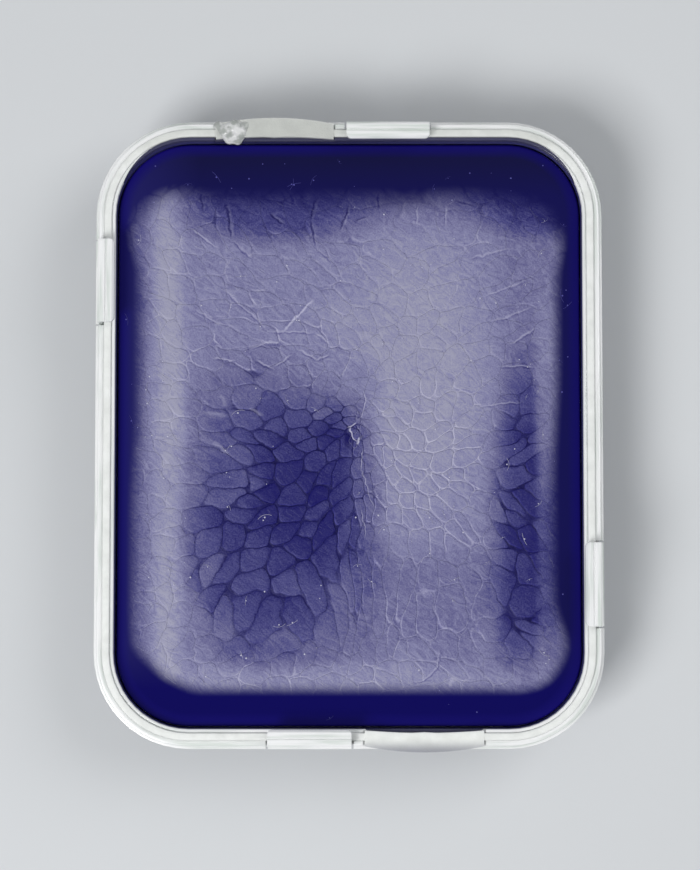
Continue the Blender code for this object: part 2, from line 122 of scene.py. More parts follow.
def rounded_distance(tree, point, half, radius):
    """Distance in mm from a rounded rectangle about the middle, negative inside."""
    flat = add_node(tree, VECTOR, {0: point, 1: (1.0, 1.0, 0.0)}, operation="MULTIPLY")
    folded = add_node(tree, VECTOR, {0: flat}, operation="ABSOLUTE")
    inner = (half[0] - radius, half[1] - radius, 0.0)
    beyond = add_node(tree, VECTOR, {0: folded, 1: inner}, operation="SUBTRACT")
    outside = add_node(tree, VECTOR, {0: beyond, 1: (0.0, 0.0, 0.0)}, operation="MAXIMUM")
    corner = add_node(tree, VECTOR, {0: outside}, operation="LENGTH")
    parts = add_node(tree, SPLIT, {0: beyond}).outputs
    nearest = add_node(tree, MATH, {0: parts["X"], 1: parts["Y"]}, operation="MAXIMUM")
    inside = add_node(tree, MATH, {0: nearest, 1: 0.0}, operation="MINIMUM")
    both = add_node(tree, MATH, {0: corner, 1: inside}, operation="ADD")
    return add_node(tree, MATH, {0: both, 1: radius}, operation="SUBTRACT")


def clear_polystyrene(name, clear_below, milky_above, film_over=0.0):
    """Clear moulded polystyrene: flow marks, scuffs, a milky top where it is thick, and a wet blue film inside,
    painted darkest just under the lip as shade.
    """
    made, tree, point = new_material(name)
    parts = add_node(tree, SPLIT, {0: point}).outputs
    wall = rounded_distance(tree, point, MOUTH_HALF_MM, MOUTH_CORNER_MM)
    band = add_node(tree, MATH, {0: wall, 1: -STREAK_MM}, operation="MAXIMUM")
    band = add_node(tree, MATH, {0: band, 1: FLOW_MM / STREAK_MM}, operation="MULTIPLY")
    along = add_node(tree, JOIN, {"X": band, "Y": parts["X"], "Z": parts["Y"]})
    flow = add_node(tree, NOISE, {"Vector": along, "Scale": 1 / FLOW_MM, "Detail": 2.0})
    streaks = add_node(tree, RANGE, {"Value": flow, "From Min": 0.32, "From Max": 0.58})
    tint = add_node(tree, MIX, {0: streaks, 6: linear("#dfe5e0"), 7: linear("#ffffff")}, data_type="RGBA")
    height = parts["Z"]
    limits = {"From Min": clear_below, "From Max": milky_above, "To Min": 0.78, "To Max": 0.0}
    see_through = add_node(tree, RANGE, {"Value": height, **limits})

    # The film ends below the lip, but has run over it at the far side and beside the near pull tab
    drafted = add_node(tree, MATH, {0: height, 1: -DRAFT_SLOPE, 2: wall}, operation="MULTIPLY_ADD")
    inner = add_node(tree, MATH, {0: drafted, 1: INSIDE_MM}, operation="LESS_THAN")
    on_tray = add_node(tree, MATH, {0: height, 1: FILM_FROM_MM}, operation="GREATER_THAN")
    wetted = add_node(tree, RANGE, {"Value": height, "From Min": FILM_TOP_MM, "From Max": FILM_TOP_MM - 0.3})
    wetted = add_node(tree, MATH, {0: on_tray, 1: wetted}, operation="MULTIPLY")
    below = add_node(tree, MATH, {0: inner, 1: wetted}, operation="MULTIPLY")
    far = add_node(tree, RANGE, {"Value": parts["Y"], "From Min": 50.0, "From Max": 58.0})
    near = add_node(tree, RANGE, {"Value": parts["Y"], "From Min": -57.0, "From Max": -58.0})
    aside = add_node(tree, MATH, {0: parts["X"], 1: PULL_TAB_MM}, operation="SUBTRACT")
    aside = add_node(tree, MATH, {0: aside}, operation="ABSOLUTE")
    tab = add_node(tree, RANGE, {"Value": aside, "From Min": 11.8, "From Max": 10.8})
    tab = add_node(tree, MATH, {0: tab, 1: near}, operation="MULTIPLY")
    over = add_node(tree, MATH, {0: far, 1: tab}, operation="MAXIMUM")
    reach = add_node(tree, MATH, {0: over, 1: film_over, 2: -0.07}, operation="MULTIPLY_ADD")
    above = add_node(tree, MATH, {0: wall, 1: reach}, operation="LESS_THAN")
    on_lip = add_node(tree, MATH, {0: height, 1: FILM_TOP_MM - 1.0}, operation="GREATER_THAN")
    above = add_node(tree, MATH, {0: above, 1: on_lip}, operation="MULTIPLY")
    film = add_node(tree, MATH, {0: below, 1: above}, operation="MAXIMUM")
    # Just under the lip the film is painted dark navy as shade, and it is paler lower down; where it has run over the
    # lip it is grey-lilac
    deep = add_node(tree, RANGE, {"Value": height, "From Min": FILM_TOP_MM - 0.2, "From Max": FILM_TOP_MM - 1.4})
    edge = add_node(tree, MIX, {0: above, 6: linear("#0d0b30"), 7: linear("#464560")}, data_type="RGBA")
    stain_and_shade = add_node(tree, MIX, {0: deep, 6: edge, 7: linear("#4a4a86")}, data_type="RGBA")
    stained_and_shaded = add_node(tree, MIX, {0: film, 6: tint, 7: stain_and_shade}, data_type="RGBA")
    covered = add_node(tree, RANGE, {"Value": film, "To Min": -1.0, "To Max": -0.15})
    solid = add_node(tree, MATH, {0: see_through, 1: covered, 2: 1.0}, operation="MULTIPLY_ADD")
    scuff = add_node(tree, NOISE, {"Vector": point, "Scale": 1 / SCUFF_MM, "Detail": 4.0})
    gloss = add_node(tree, RANGE, {"Value": scuff, "To Min": 0.06, "To Max": 0.30})
    bump = add_node(tree, "ShaderNodeBump", {"Height": scuff, "Strength": 0.15, "Distance": 0.05 * MM})
    finish(
        tree, Base_Color=stained_and_shaded, Alpha=solid, Roughness=gloss, Normal=bump, IOR=POLYSTYRENE_IOR,
        Transmission_Weight=0.04, Subsurface_Weight=0.4, Subsurface_Scale=1.2 * MM,
        Subsurface_Radius=(1.0, 1.0, 1.0),
    )
    return made


def welded(name, node):
    """A copy of a piece's mesh with its loose triangles joined."""
    work = bmesh.new()
    work.from_mesh(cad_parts[node].data)
    bmesh.ops.remove_doubles(work, verts=work.verts, dist=WELD)
    mesh = bpy.data.meshes.new(name)
    work.to_mesh(mesh)
    work.free()
    if "custom_normal" in mesh.attributes:
        mesh.attributes.remove(mesh.attributes["custom_normal"])
    return mesh


def place(name, mesh, material, body, slot, *nodes):
    """A finished piece that rides on a body, and stands for the nodes named."""
    mesh.materials.clear()
    mesh.materials.append(material)
    piece = bpy.data.objects.new(name, mesh)
    scene.collection.objects.link(piece)
    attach(piece, body)
    if nodes:
        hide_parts(*nodes)
    return piece


def moulded(name, node, body, slot, material, shape=None):
    """A smoothly shaded copy of a rigid piece, which stands for it."""
    mesh = welded(name, node)
    if shape:
        shape(mesh)
    mesh.shade_smooth()
    mesh.set_sharp_from_angle(angle=SMOOTH_BELOW)
    return place(name, mesh, material, body, slot, node)


moulded("moulded_lid", "lid", "lid", "clear_plastic", clear_polystyrene("clear moulded polystyrene, lid", 0.0, 40.0))

# Tray
# One clear moulding: drafted walls, a rim with two lips and the seal's groove, a stepped skirt, and ears that
# hold the catches. The walls are thin and clear, and the rim is thick enough to look milky white.
WALL_CLEAR_BELOW = 11.0
RIM_MILKY_ABOVE = 15.0
RIM_HEIGHTS = (WALL_CLEAR_BELOW, RIM_MILKY_ABOVE)
TRAY_PLASTIC = clear_polystyrene("clear moulded polystyrene, tray", *RIM_HEIGHTS, FILM_OVER_MM)
moulded("moulded_tray", "tray", "tray", "clear_plastic", TRAY_PLASTIC)

# Rim seal
# A ring of translucent silicone pressed into the rim's groove, with two pull tabs that bow out over the skirt.
# The mould was blasted, so the silicone is frosted and grainy, and light spreads inside it.
SILICONE_GRAIN_MM = 0.35
SILICONE_CLOUD_MM = 3.0
SEAL_IN_MM = 0.7
SEAL_MIDDLE_MM = 1.45
SEAL_OUT_MM = 2.2
SEAL_SPREAD_MM = 0.15


def frosted_silicone():
    """Frosted silicone: cloudy greys and a fine grain, thin at the tabs' outer edges, with painted shade grey there
    and a little darker on the far side and its tab, and no sharp gloss.
    """
    made, tree, point = new_material("frosted silicone")
    wall = rounded_distance(tree, point, MOUTH_HALF_MM, MOUTH_CORNER_MM)
    # Painted shade: grey along the tabs' outer edges, and a little darker on the far side and its tab
    outer_shade = add_node(tree, RANGE, {"Value": wall, "From Min": 1.6, "From Max": 4.6}, interpolation_type="SMOOTHSTEP")
    solid = add_node(tree, MIX, {0: outer_shade, 6: linear("#fafcf8"), 7: linear("#9a9ba4")}, data_type="RGBA")
    parts = add_node(tree, SPLIT, {0: point}).outputs
    aside = add_node(tree, MATH, {0: parts["X"], 1: PULL_TAB_MM}, operation="ADD")
    aside = add_node(tree, MATH, {0: aside}, operation="ABSOLUTE")
    tab = add_node(tree, RANGE, {"Value": aside, "From Min": 12.3, "From Max": 11.5})
    shadowed = add_node(tree, MIX, {0: tab, 6: linear("#e9ebe6"), 7: linear("#d0d2cd")}, data_type="RGBA")
    far = add_node(tree, RANGE, {"Value": parts["Y"], "From Min": 56.0, "From Max": 58.0})
    tone = add_node(tree, MIX, {0: far, 6: solid, 7: shadowed}, data_type="RGBA")
    cloud = add_node(tree, NOISE, {"Vector": point, "Scale": 1 / SILICONE_CLOUD_MM, "Detail": 5.0})
    patches = add_node(tree, RANGE, {"Value": cloud, "From Min": 0.3, "From Max": 0.7, "To Min": 0.25, "To Max": 0.0})
    tint = add_node(tree, MIX, {0: patches, 6: tone, 7: linear("#a9aaa8")}, data_type="RGBA")
    grain = add_node(tree, NOISE, {"Vector": point, "Scale": 1 / SILICONE_GRAIN_MM, "Detail": 3.0})
    bump = add_node(tree, "ShaderNodeBump", {"Height": grain, "Strength": 0.6, "Distance": 0.12 * MM})
    finish(
        tree, Base_Color=tint, Normal=bump, Roughness=0.5, IOR=1.41, Transmission_Weight=0.04,
        Subsurface_Weight=0.4, Subsurface_Scale=1.2 * MM, Subsurface_Radius=(1.0, 1.0, 1.0),
    )
    return made


def press_in(mesh):
    """Spreads the ring until it fills its groove, as soft silicone does when it is pressed in."""
    straight = [(half - MOUTH_CORNER_MM) * MM for half in MOUTH_HALF_MM]
    for vertex in mesh.vertices:
        core = [min(max(value, -limit), limit) for value, limit in zip(vertex.co.xy, straight)]
        away = vertex.co.xy - Vector(core)
        from_mouth = away.length * PER_MM - MOUTH_CORNER_MM
        if SEAL_IN_MM < from_mouth < SEAL_OUT_MM:
            side = 1 if from_mouth > SEAL_MIDDLE_MM else -1
            vertex.co.xy += side * SEAL_SPREAD_MM * MM * away.normalized()


moulded("silicone_seal", "rim_seal", "tray", "silicone", frosted_silicone(), press_in)

# Catches
# Four clear hooks, one on each side, that turn on their own trunnions in the tray's ears and would close over
# the lid's edge. They are moulded in the same polystyrene as the tray.
CATCH_PLASTIC = clear_polystyrene("clear moulded polystyrene, catches", *RIM_HEIGHTS)
for side in ("east", "north", "west", "south"):
    moulded(f"moulded_catch_{side}", f"catch_{side}", f"catch_{side}", "clear_plastic", CATCH_PLASTIC)

# Reservoir sponge
# A pad of open-cell foam that fills the tray and holds the water, soaked through with ultramarine. Foam is cut
# from a block, so its skin is open pores, painted dark as the shade in them, and the wet foam has a thin gloss.
FOAM_VOXEL = 0.9 * MM
FOAM_PORE_MM = 2.2
FOAM_PORE_DEPTH = 0.22 * MM


def soaked_foam():
    """Wet foam: pores painted nearly black, as the shade in them, and walls of a brighter blue."""
    made, tree, point = new_material("soaked open-cell foam")
    pores = add_node(tree, CELLS, {"Vector": point, "Scale": 1 / FOAM_PORE_MM})
    tint = add_node(tree, MIX, {0: pores, 6: linear("#0b0748"), 7: linear("#2a23a0")}, data_type="RGBA")
    finish(tree, Base_Color=tint, Roughness=0.4, Specular_IOR_Level=0.3)
    return made


def add_inputs(tree, **inputs):
    """Named inputs of a node tree, floats or whole numbers by their values, and its geometry output."""
    for name, value in inputs.items():
        kind = "NodeSocketInt" if isinstance(value, int) else "NodeSocketFloat"
        tree.interface.new_socket(name, in_out="INPUT", socket_type=kind)
    tree.interface.new_socket("Geometry", in_out="OUTPUT", socket_type="NodeSocketGeometry")
    return add_node(tree, "NodeGroupInput").outputs


def dress(tree, geometry, material):
    """The end of a geometry tree: real, smooth and in its material."""
    real = add_node(tree, "GeometryNodeRealizeInstances", {0: geometry})
    smooth = add_node(tree, "GeometryNodeSetShadeSmooth", {0: real})
    dressed = add_node(tree, "GeometryNodeSetMaterial", {"Geometry": smooth, "Material": material})
    add_node(tree, "NodeGroupOutput", {0: dressed})


def grown(mesh, tree, remesh=None, **inputs):
    """The plain mesh that a node tree makes, from a start mesh and its named inputs."""
    stand = bpy.data.objects.new(mesh.name, mesh)
    scene.collection.objects.link(stand)
    if remesh:
        voxels = stand.modifiers.new("voxels", "REMESH")
        voxels.mode = "VOXEL"
        voxels.voxel_size = remesh
    nodes = stand.modifiers.new(mesh.name, "NODES")
    nodes.node_group = tree
    sockets = {item.name: item.identifier for item in tree.interface.items_tree if item.in_out == "INPUT"}
    for key, value in inputs.items():
        nodes[sockets[key]] = value
    graph = bpy.context.evaluated_depsgraph_get()
    made = bpy.data.meshes.new_from_object(stand.evaluated_get(graph))
    bpy.data.objects.remove(stand)
    return made


def foam_tree(material, **inputs):
    """Dents a closed mesh along its normals, one dent for each pore."""
    tree = bpy.data.node_groups.new("foam_pores", "GeometryNodeTree")
    tree.interface.new_socket("Pad", in_out="INPUT", socket_type="NodeSocketGeometry")
    sizes = add_inputs(tree, **inputs)
    spot = add_node(tree, "GeometryNodeInputPosition")
    density = add_node(tree, MATH, {0: 1.0, 1: sizes["Pore"]}, operation="DIVIDE")
    pores = add_node(tree, CELLS, {"Vector": spot, "Scale": density}, feature="SMOOTH_F1")
    wall = add_node(tree, MATH, {0: pores, 1: 1.0}, operation="SUBTRACT")
    depth = add_node(tree, MATH, {0: wall, 1: sizes["Depth"]}, operation="MULTIPLY")
    normal = add_node(tree, "GeometryNodeInputNormal")
    dent = add_node(tree, VECTOR, {0: normal, "Scale": depth}, operation="SCALE")
    dented = add_node(tree, "GeometryNodeSetPosition", {"Geometry": sizes["Pad"], "Offset": dent})
    dress(tree, dented, material)
    return tree


foam_sizes = {"Pore": FOAM_PORE_MM * MM, "Depth": FOAM_PORE_DEPTH}
foam = soaked_foam()
pad_mesh = grown(welded("foam_pad", "reservoir_sponge"), foam_tree(foam, **foam_sizes), FOAM_VOXEL, **foam_sizes)
sponge = place("foam_pad", pad_mesh, foam, "sponge", "sponge", "reservoir_sponge")

# Palette sheet
# A thin absorbent sheet laid on the sponge. It has drawn together at a point and along a line below it, and
# has cockled into cells, with a lilac bloom over the soaked ultramarine and a glossy wet margin.
sheet_low, sheet_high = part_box("palette_sheet")
SHEET_HALF_MM = (sheet_high.x * PER_MM, sheet_high.y * PER_MM)
SHEET_CORNER_MM = 14.5
SHEET_THICKNESS = 0.4 * MM
SHEET_COLUMNS = 270
SHEET_ROWS = 340
RELIEF = 0.25 * MM

# The cells: how wide and how uneven they are, how their edges sway over a length, and how soft they are
CELL_MM = 4.9
CELL_UNEVEN = 0.9
CELL_SOFT = 0.7
SWAYS_MM = ((14.0, 3.0), (4.2, 1.8))
# Places where the cells are larger: centre and half size in mm, then how far they are stretched along X and Y
SWELLS = (
    ((-28.0, -6.0), (12.0, 16.0), (0.48, 0.0)),
    ((-15.0, -37.0), (15.0, 13.0), (0.42, 0.45)),
    ((-20.0, 19.0), (18.0, 12.0), (0.42, 0.15)),
    ((2.0, -27.0), (8.0, 20.0), (0.0, 0.70)),
    ((10.0, 42.0), (48.0, 15.0), (0.50, 0.35)),
    ((15.0, -8.0), (13.0, 14.0), (-0.30, -0.30)),
    ((17.0, -36.0), (14.0, 12.0), (0.0, 0.55)),
)
# The point that the sheet is drawn to, how much is taken in there, and the folds below it
DRAW_MM = (1.2, 1.6)
DRAW_IN_MM = 4.5
DRAW_NEAR_MM = 3.0
FOLD_IN_MM = 5.0
FOLD_NEAR_MM = 3.5
FOLD_FROM_MM = 0.0
FOLD_FULL_MM = -9.0
FOLD_FADES_MM = -38.0
FOLD_ENDS_MM = -50.0


def swayed(tree, point, sways):
    """A point moved about by smooth waves, each by its length and its reach in mm."""
    moved = point
    for size, reach in sways:
        waves = {"Vector": point, "Scale": 1 / size, "Detail": 2.0, "Roughness": 0.35}
        waves = add_node(tree, NOISE, waves, noise_dimensions="2D").outputs["Color"]
        centred = add_node(tree, VECTOR, {0: waves, 1: (0.5, 0.5, 0.5)}, operation="SUBTRACT")
        moved = add_node(tree, VECTOR, {0: centred, 1: (reach, reach, 0.0), 2: moved}, operation="MULTIPLY_ADD")
    return moved


def pebbles(tree, point, size):
    """Round cells: 0 inside, 1 on the line between two, about 1.5 where three meet, and each cell's shade."""
    pattern = {"Vector": point, "Scale": 1 / size, "Randomness": CELL_UNEVEN}
    nearest = add_node(tree, CELLS, pattern, voronoi_dimensions="2D").outputs
    pattern["Smoothness"] = CELL_SOFT
    soft = add_node(tree, CELLS, pattern, voronoi_dimensions="2D", feature="SMOOTH_F1")
    dip = add_node(tree, MATH, {0: nearest["Distance"], 1: soft}, operation="SUBTRACT")
    edge = add_node(tree, MATH, {0: dip, 1: 8 / CELL_SOFT}, operation="MULTIPLY")
    return edge, add_node(tree, SPLIT, {0: nearest["Color"]}).outputs["X"]


def cockles(tree, point):
    """The pebbles of the drawn sheet at a point in mm."""
    swollen = (0.0, 0.0, 0.0)
    for centre, half, stretch in SWELLS:
        away = add_node(tree, VECTOR, {0: point, 1: (*centre, 0.0)}, operation="SUBTRACT")
        share = add_node(tree, VECTOR, {0: away, 1: (1 / half[0], 1 / half[1], 0.0)}, operation="MULTIPLY")
        square = add_node(tree, VECTOR, {0: share, 1: share}, operation="DOT_PRODUCT")
        fade = add_node(tree, MATH, {0: math.exp(-1), 1: square}, operation="POWER")
        shift = add_node(tree, VECTOR, {0: away, "Scale": fade}, operation="SCALE")
        back = (-stretch[0], -stretch[1], 0.0)
        swollen = add_node(tree, VECTOR, {0: shift, 1: back, 2: swollen}, operation="MULTIPLY_ADD")
    moved = add_node(tree, VECTOR, {0: swayed(tree, point, SWAYS_MM), 1: swollen}, operation="ADD")
    drawn = add_node(tree, VECTOR, {0: moved, 1: (*DRAW_MM, 0.0)}, operation="SUBTRACT")
    drawn = add_node(tree, VECTOR, {0: drawn, 1: (1.0, 1.0, 0.0)}, operation="MULTIPLY")
    parts = add_node(tree, SPLIT, {0: drawn}).outputs

    # Everything is pulled in to the draw point
    reach = add_node(tree, VECTOR, {0: drawn}, operation="LENGTH")
    decay = add_node(tree, MATH, {0: reach, 1: -1 / DRAW_NEAR_MM}, operation="MULTIPLY")
    decay = add_node(tree, MATH, {0: decay}, operation="EXPONENT")
    taken = add_node(tree, MATH, {0: decay, 1: -DRAW_IN_MM, 2: DRAW_IN_MM}, operation="MULTIPLY_ADD")
    least = add_node(tree, MATH, {0: reach, 1: 0.05}, operation="MAXIMUM")
    gain = add_node(tree, MATH, {0: taken, 1: least}, operation="DIVIDE")
    crowd = add_node(tree, MATH, {0: gain, 1: 1.0}, operation="ADD")
    pulled = add_node(tree, VECTOR, {0: drawn, "Scale": crowd}, operation="SCALE")

    # Below it the sheet is also folded in from both sides
    aside = add_node(tree, MATH, {0: parts["X"]}, operation="ABSOLUTE")
    near = add_node(tree, MATH, {0: aside, 1: -1 / FOLD_NEAR_MM}, operation="MULTIPLY")
    near = add_node(tree, MATH, {0: near}, operation="EXPONENT")
    start = {"Value": parts["Y"], "From Min": FOLD_FROM_MM, "From Max": FOLD_FULL_MM}
    end = {"Value": parts["Y"], "From Min": FOLD_ENDS_MM, "From Max": FOLD_FADES_MM}
    start = add_node(tree, RANGE, start, interpolation_type="SMOOTHSTEP")
    end = add_node(tree, RANGE, end, interpolation_type="SMOOTHSTEP")
    folded = add_node(tree, MATH, {0: start, 1: end}, operation="MULTIPLY")
    side = add_node(tree, MATH, {0: parts["X"]}, operation="SIGN")
    push = add_node(tree, MATH, {0: near, 1: -FOLD_IN_MM, 2: FOLD_IN_MM}, operation="MULTIPLY_ADD")
    push = add_node(tree, MATH, {0: push, 1: folded}, operation="MULTIPLY")
    push = add_node(tree, MATH, {0: push, 1: side}, operation="MULTIPLY")
    spread = add_node(tree, VECTOR, {0: pulled, 1: add_node(tree, JOIN, {"X": push})}, operation="ADD")
    return pebbles(tree, spread, CELL_MM)


# Soft round places in the sheet: centre and half size in mm, then an amount
SOAK_FLAT = 0.3
# The soaked cells left of the folds, by how much darker they are
SOAKED = (
    ((-15.0, -16.0), (29.0, 37.0), -0.34),
    ((-3.0, -8.0), (20.0, 22.0), -0.24),
    ((-24.0, -26.0), (14.0, 20.0), -0.08),
    ((-8.0, -40.0), (32.0, 13.0), -0.12),
    ((-0.5, 0.5), (7.0, 9.0), -0.14),
    ((-22.0, 9.0), (15.0, 13.0), -0.09),
    ((-8.0, -23.0), (12.0, 9.0), -0.09),
    ((-15.5, -15.5), (10.0, 8.0), -0.10),
    ((-4.5, -27.0), (5.0, 6.0), -0.08),
)
# The dark pool along the right wall, which a painted reflection covers short of the wall, from a straight line
POOLED = (
    ((36.2, -17.0), (11.0, 43.0), -0.44),
    ((34.5, -33.0), (9.0, 17.0), -0.12),
)
# The rest of the bloom, by how much paler it is
PALER = (
    ((41.0, -27.0), (6.0, 26.0), -0.20),
    ((38.0, 25.0), (12.0, 60.0), -0.10),
    ((16.0, -35.0), (26.0, 18.0), -0.12),
    ((13.0, 12.0), (21.0, 42.0), 0.19),
    ((4.0, 9.0), (5.0, 9.0), -0.12),
    ((3.5, -27.0), (8.0, 8.0), -0.10),
    ((-37.0, -2.0), (6.0, 85.0), 0.27),
    ((-42.0, -2.0), (6.0, 85.0), -0.24),
    ((-15.0, 46.0), (27.0, 10.5), -0.42),
    ((14.0, 47.0), (22.0, 9.0), -0.14),
    ((38.0, 47.0), (20.0, 10.0), -0.40),
    ((39.4, 8.0), (3.4, 30.0), 0.11),
    ((-4.0, -49.0), (46.0, 5.0), 0.12),
    ((4.4, -14.0), (4.5, 22.0), -0.11),
    ((-16.0, -44.5), (16.0, 4.5), -0.09),
    ((13.0, -44.0), (6.0, 4.0), 0.10),
    ((-3.0, 24.0), (8.0, 7.0), 0.08),
    ((0.0, 13.0), (5.0, 5.0), -0.07),
    ((26.5, -30.0), (4.0, 12.0), -0.06),
    ((31.0, -44.0), (5.0, 5.0), -0.09),
    ((35.0, 4.5), (5.0, 5.0), 0.08),
    ((-31.0, -18.0), (4.0, 5.0), 0.09),
    ((-13.0, -29.0), (5.0, 5.0), -0.08),
    ((-26.0, -9.0), (5.0, 5.0), -0.07),
    ((-26.0, -35.5), (4.0, 4.0), -0.07),
)
# Where dark crease lines, painted as shade, show more or less than elsewhere, and where the pale painted highlights
# beside them do
LINED = (
    ((-16.0, 18.0), (26.0, 16.0), 0.55),
    ((15.0, -7.0), (19.0, 22.0), 0.26),
    ((2.0, -25.0), (9.0, 22.0), 0.45),
    ((5.5, -5.0), (5.0, 16.0), 0.40),
    ((17.0, -36.0), (18.0, 14.0), 0.35),
    ((-12.0, 42.0), (30.0, 9.0), 0.70),
    ((36.0, 45.0), (16.0, 9.0), 0.60),
    ((-15.0, -38.0), (18.0, 13.0), -0.20),
    ((-37.0, -4.0), (7.0, 80.0), -0.30),
)
HIGHLIGHTED_PLACES = (
    ((15.0, -7.0), (22.0, 24.0), 0.66),
    ((-36.0, -10.0), (6.0, 70.0), 0.10),
    ((-16.0, 18.0), (26.0, 16.0), 0.45),
    ((2.0, -25.0), (9.0, 22.0), 0.45),
    ((17.0, -36.0), (18.0, 14.0), 0.45),
    ((0.0, -48.0), (48.0, 5.0), 0.45),
)
# Where the lines close into whole rings
CLOSED = (
    ((14.5, -7.0), (15.0, 20.0), 0.85),
    ((14.0, 24.0), (18.0, 20.0), 0.35),
    ((17.0, -36.0), (18.0, 14.0), 0.50),
    ((-16.0, 18.0), (26.0, 16.0), 0.25),
    ((0.0, -48.0), (46.0, 5.0), 0.40),
)
# The crumple at the draw point, and the deep pool in it
CRUMPLE = (((1.3, 0.0), (2.2, 7.0), 1.0),)
POOL = (((-0.2, -1.2), (1.2, 2.6), 1.0),)
# Single creases: middle in mm, turn in degrees, half length, bow and half width in mm, and how much shows of
# each one's dark line of painted shade and of the pale painted highlight on its left. The ones with no dark line are
# painted glints on the domes
CREASES = (
    ((-10.5, 23.9), 226.6, 5.6, 0.0, 0.18, 0.3, 0.7),
    ((-20.9, 24.7), -42.5, 7.2, 0.0, 0.14, 0.6, 0.35),
    ((-11.4, 20.2), -1.0, 5.4, 0.0, 0.14, 0.6, 0.35),
    ((-5.4, 18.9), -40.8, 2.4, 0.0, 0.14, 0.5, 0.45),
    ((-17.1, 17.7), 20.0, 2.8, 0.0, 0.14, 0.6, 0.4),
    ((-17.1, 13.5), -27.0, 2.6, 0.0, 0.15, 0.8, 0.4),
    ((-8.2, 15.4), -29.0, 2.7, 0.0, 0.14, 0.7, 0.4),
    ((-5.2, 14.9), 20.0, 1.8, 0.0, 0.14, 0.7, 0.4),
    ((-12.9, 14.4), 36.0, 2.4, 0.0, 0.14, 0.6, 0.35),
    ((-28.8, 23.2), -31.5, 3.4, 0.0, 0.14, 0.5, 0.3),
    ((-25.0, 14.5), -7.0, 2.9, 0.0, 0.14, 0.5, 0.4),
    ((-24.3, 42.8), -80.0, 4.8, 0.0, 0.20, 0.9, 0.08),
    ((-21.6, 36.9), -42.0, 3.4, 0.0, 0.16, 0.8, 0.2),
    ((-7.2, 45.3), 254.0, 3.0, 0.0, 0.20, 0.9, 0.06),
    ((-7.4, 40.3), -80.5, 3.5, 0.0, 0.18, 0.9, 0.1),
    ((-29.3, 39.0), -34.5, 4.2, 0.0, 0.14, 0.45, 0.4),
    ((-0.9, 43.5), 252.0, 3.2, 0.0, 0.18, 0.85, 0.12),
    ((-5.2, 35.8), -43.0, 2.6, 0.0, 0.15, 0.7, 0.2),
    ((5.9, 47.0), -87.0, 1.9, 0.0, 0.20, 0.9, 0.05),
    ((2.4, 43.2), 200.0, 1.8, 0.0, 0.16, 0.7, 0.1),
    ((-29.7, 46.6), -84.0, 2.4, 0.0, 0.18, 0.7, 0.05),
    ((-14.6, 43.1), -35.0, 2.4, 0.0, 0.20, 0.9, 0.08),
    ((23.4, 46.4), -16.0, 2.6, 0.0, 0.16, 0.8, 0.05),
    ((13.5, 44.2), -88.0, 2.6, 0.0, 0.14, 0.3, 0.3),
    ((19.2, 43.8), -90.0, 2.6, 0.0, 0.14, 0.3, 0.3),
    ((28.4, 36.0), 14.5, 5.6, 0.0, 0.15, 0.3, 0.3),
    ((31.5, 28.9), 20.7, 5.6, 0.0, 0.15, 0.3, 0.3),
    ((32.6, 23.3), 17.8, 5.2, 0.03, 0.15, 0.35, 0.3),
    ((35.0, 19.2), 32.0, 3.8, 0.0, 0.15, 0.5, 0.35),
    ((33.6, 13.1), 0.0, 4.4, 0.0, 0.14, 0.6, 0.3),
    ((30.2, 5.7), 5.0, 5.0, -0.02, 0.14, 0.5, 0.3),
    ((16.95, -48.1), 48.2, 5.4, 0.11, 0.13, 0.7, 0.3),
    ((-25.8, 6.4), -57.0, 1.8, 0.0, 0.30, 0.0, 0.22),
    ((-26.7, 3.1), -9.6, 3.2, 0.0, 0.30, 0.0, 0.22),
    ((-26.4, -3.3), -32.0, 2.8, 0.0, 0.30, 0.0, 0.25),
    ((-18.9, 3.9), -29.0, 2.0, 0.0, 0.26, 0.0, 0.25),
    ((3.0, 5.6), 263.0, 3.6, -0.10, 0.09, 0.5, 0.5),
    ((0.6, 1.8), 215.0, 1.2, 0.0, 0.10, 0.4, 0.8),
    ((0.3, -0.5), -70.0, 2.2, 0.13, 0.11, 0.5, 0.9),
    ((2.0, -1.7), 60.0, 0.9, 0.0, 0.15, 0.0, 0.9),
    ((2.35, -5.3), 266.0, 2.6, 0.0, 0.09, 0.6, 0.5),
    ((3.6, -11.2), -71.3, 4.8, 0.0, 0.08, 0.5, 0.45),
    ((2.6, -18.0), -81.0, 3.8, 0.0, 0.08, 0.6, 0.4),
)
CREASE_SWAYS_MM = ((1.3, 0.75), (5.0, 0.6))
# The bloom's outline, and how far its corners fall short of it, in mm
BLOOM_CENTRE_MM = (-0.25, -2.15)
BLOOM_HALF_MM = (41.75, 48.75)
BLOOM_CORNER_MM = 11.0
CORNERS = (
    ((-38.0, 43.0), (13.0, 12.0), -2.7),
    ((22.0, 46.0), (10.0, 8.0), -0.6),
    ((41.0, 42.0), (9.0, 12.0), -1.2),
    ((42.0, -20.0), (8.0, 34.0), 0.9),
    ((40.0, -45.0), (12.0, 12.0), -2.0),
    ((-37.0, -48.0), (9.0, 9.0), 1.0),
    ((-43.0, -25.0), (8.0, 30.0), -0.9),
)


def soak(tree, point, places):
    """The amounts of soft places, summed at a point in mm."""
    total = 0.0
    for centre, half, amount in places:
        moved = add_node(tree, VECTOR, {0: point, 1: (*centre, 0.0)}, operation="SUBTRACT")
        scaled = add_node(tree, VECTOR, {0: moved, 1: (1 / half[0], 1 / half[1], 0.0)}, operation="MULTIPLY")
        away = add_node(tree, VECTOR, {0: scaled}, operation="LENGTH")
        fade = {"Value": away, "From Min": SOAK_FLAT, "To Min": amount, "To Max": 0.0}
        fade = add_node(tree, RANGE, fade, interpolation_type="SMOOTHSTEP")
        total = add_node(tree, MATH, {0: total, 1: fade}, operation="ADD")
    return total


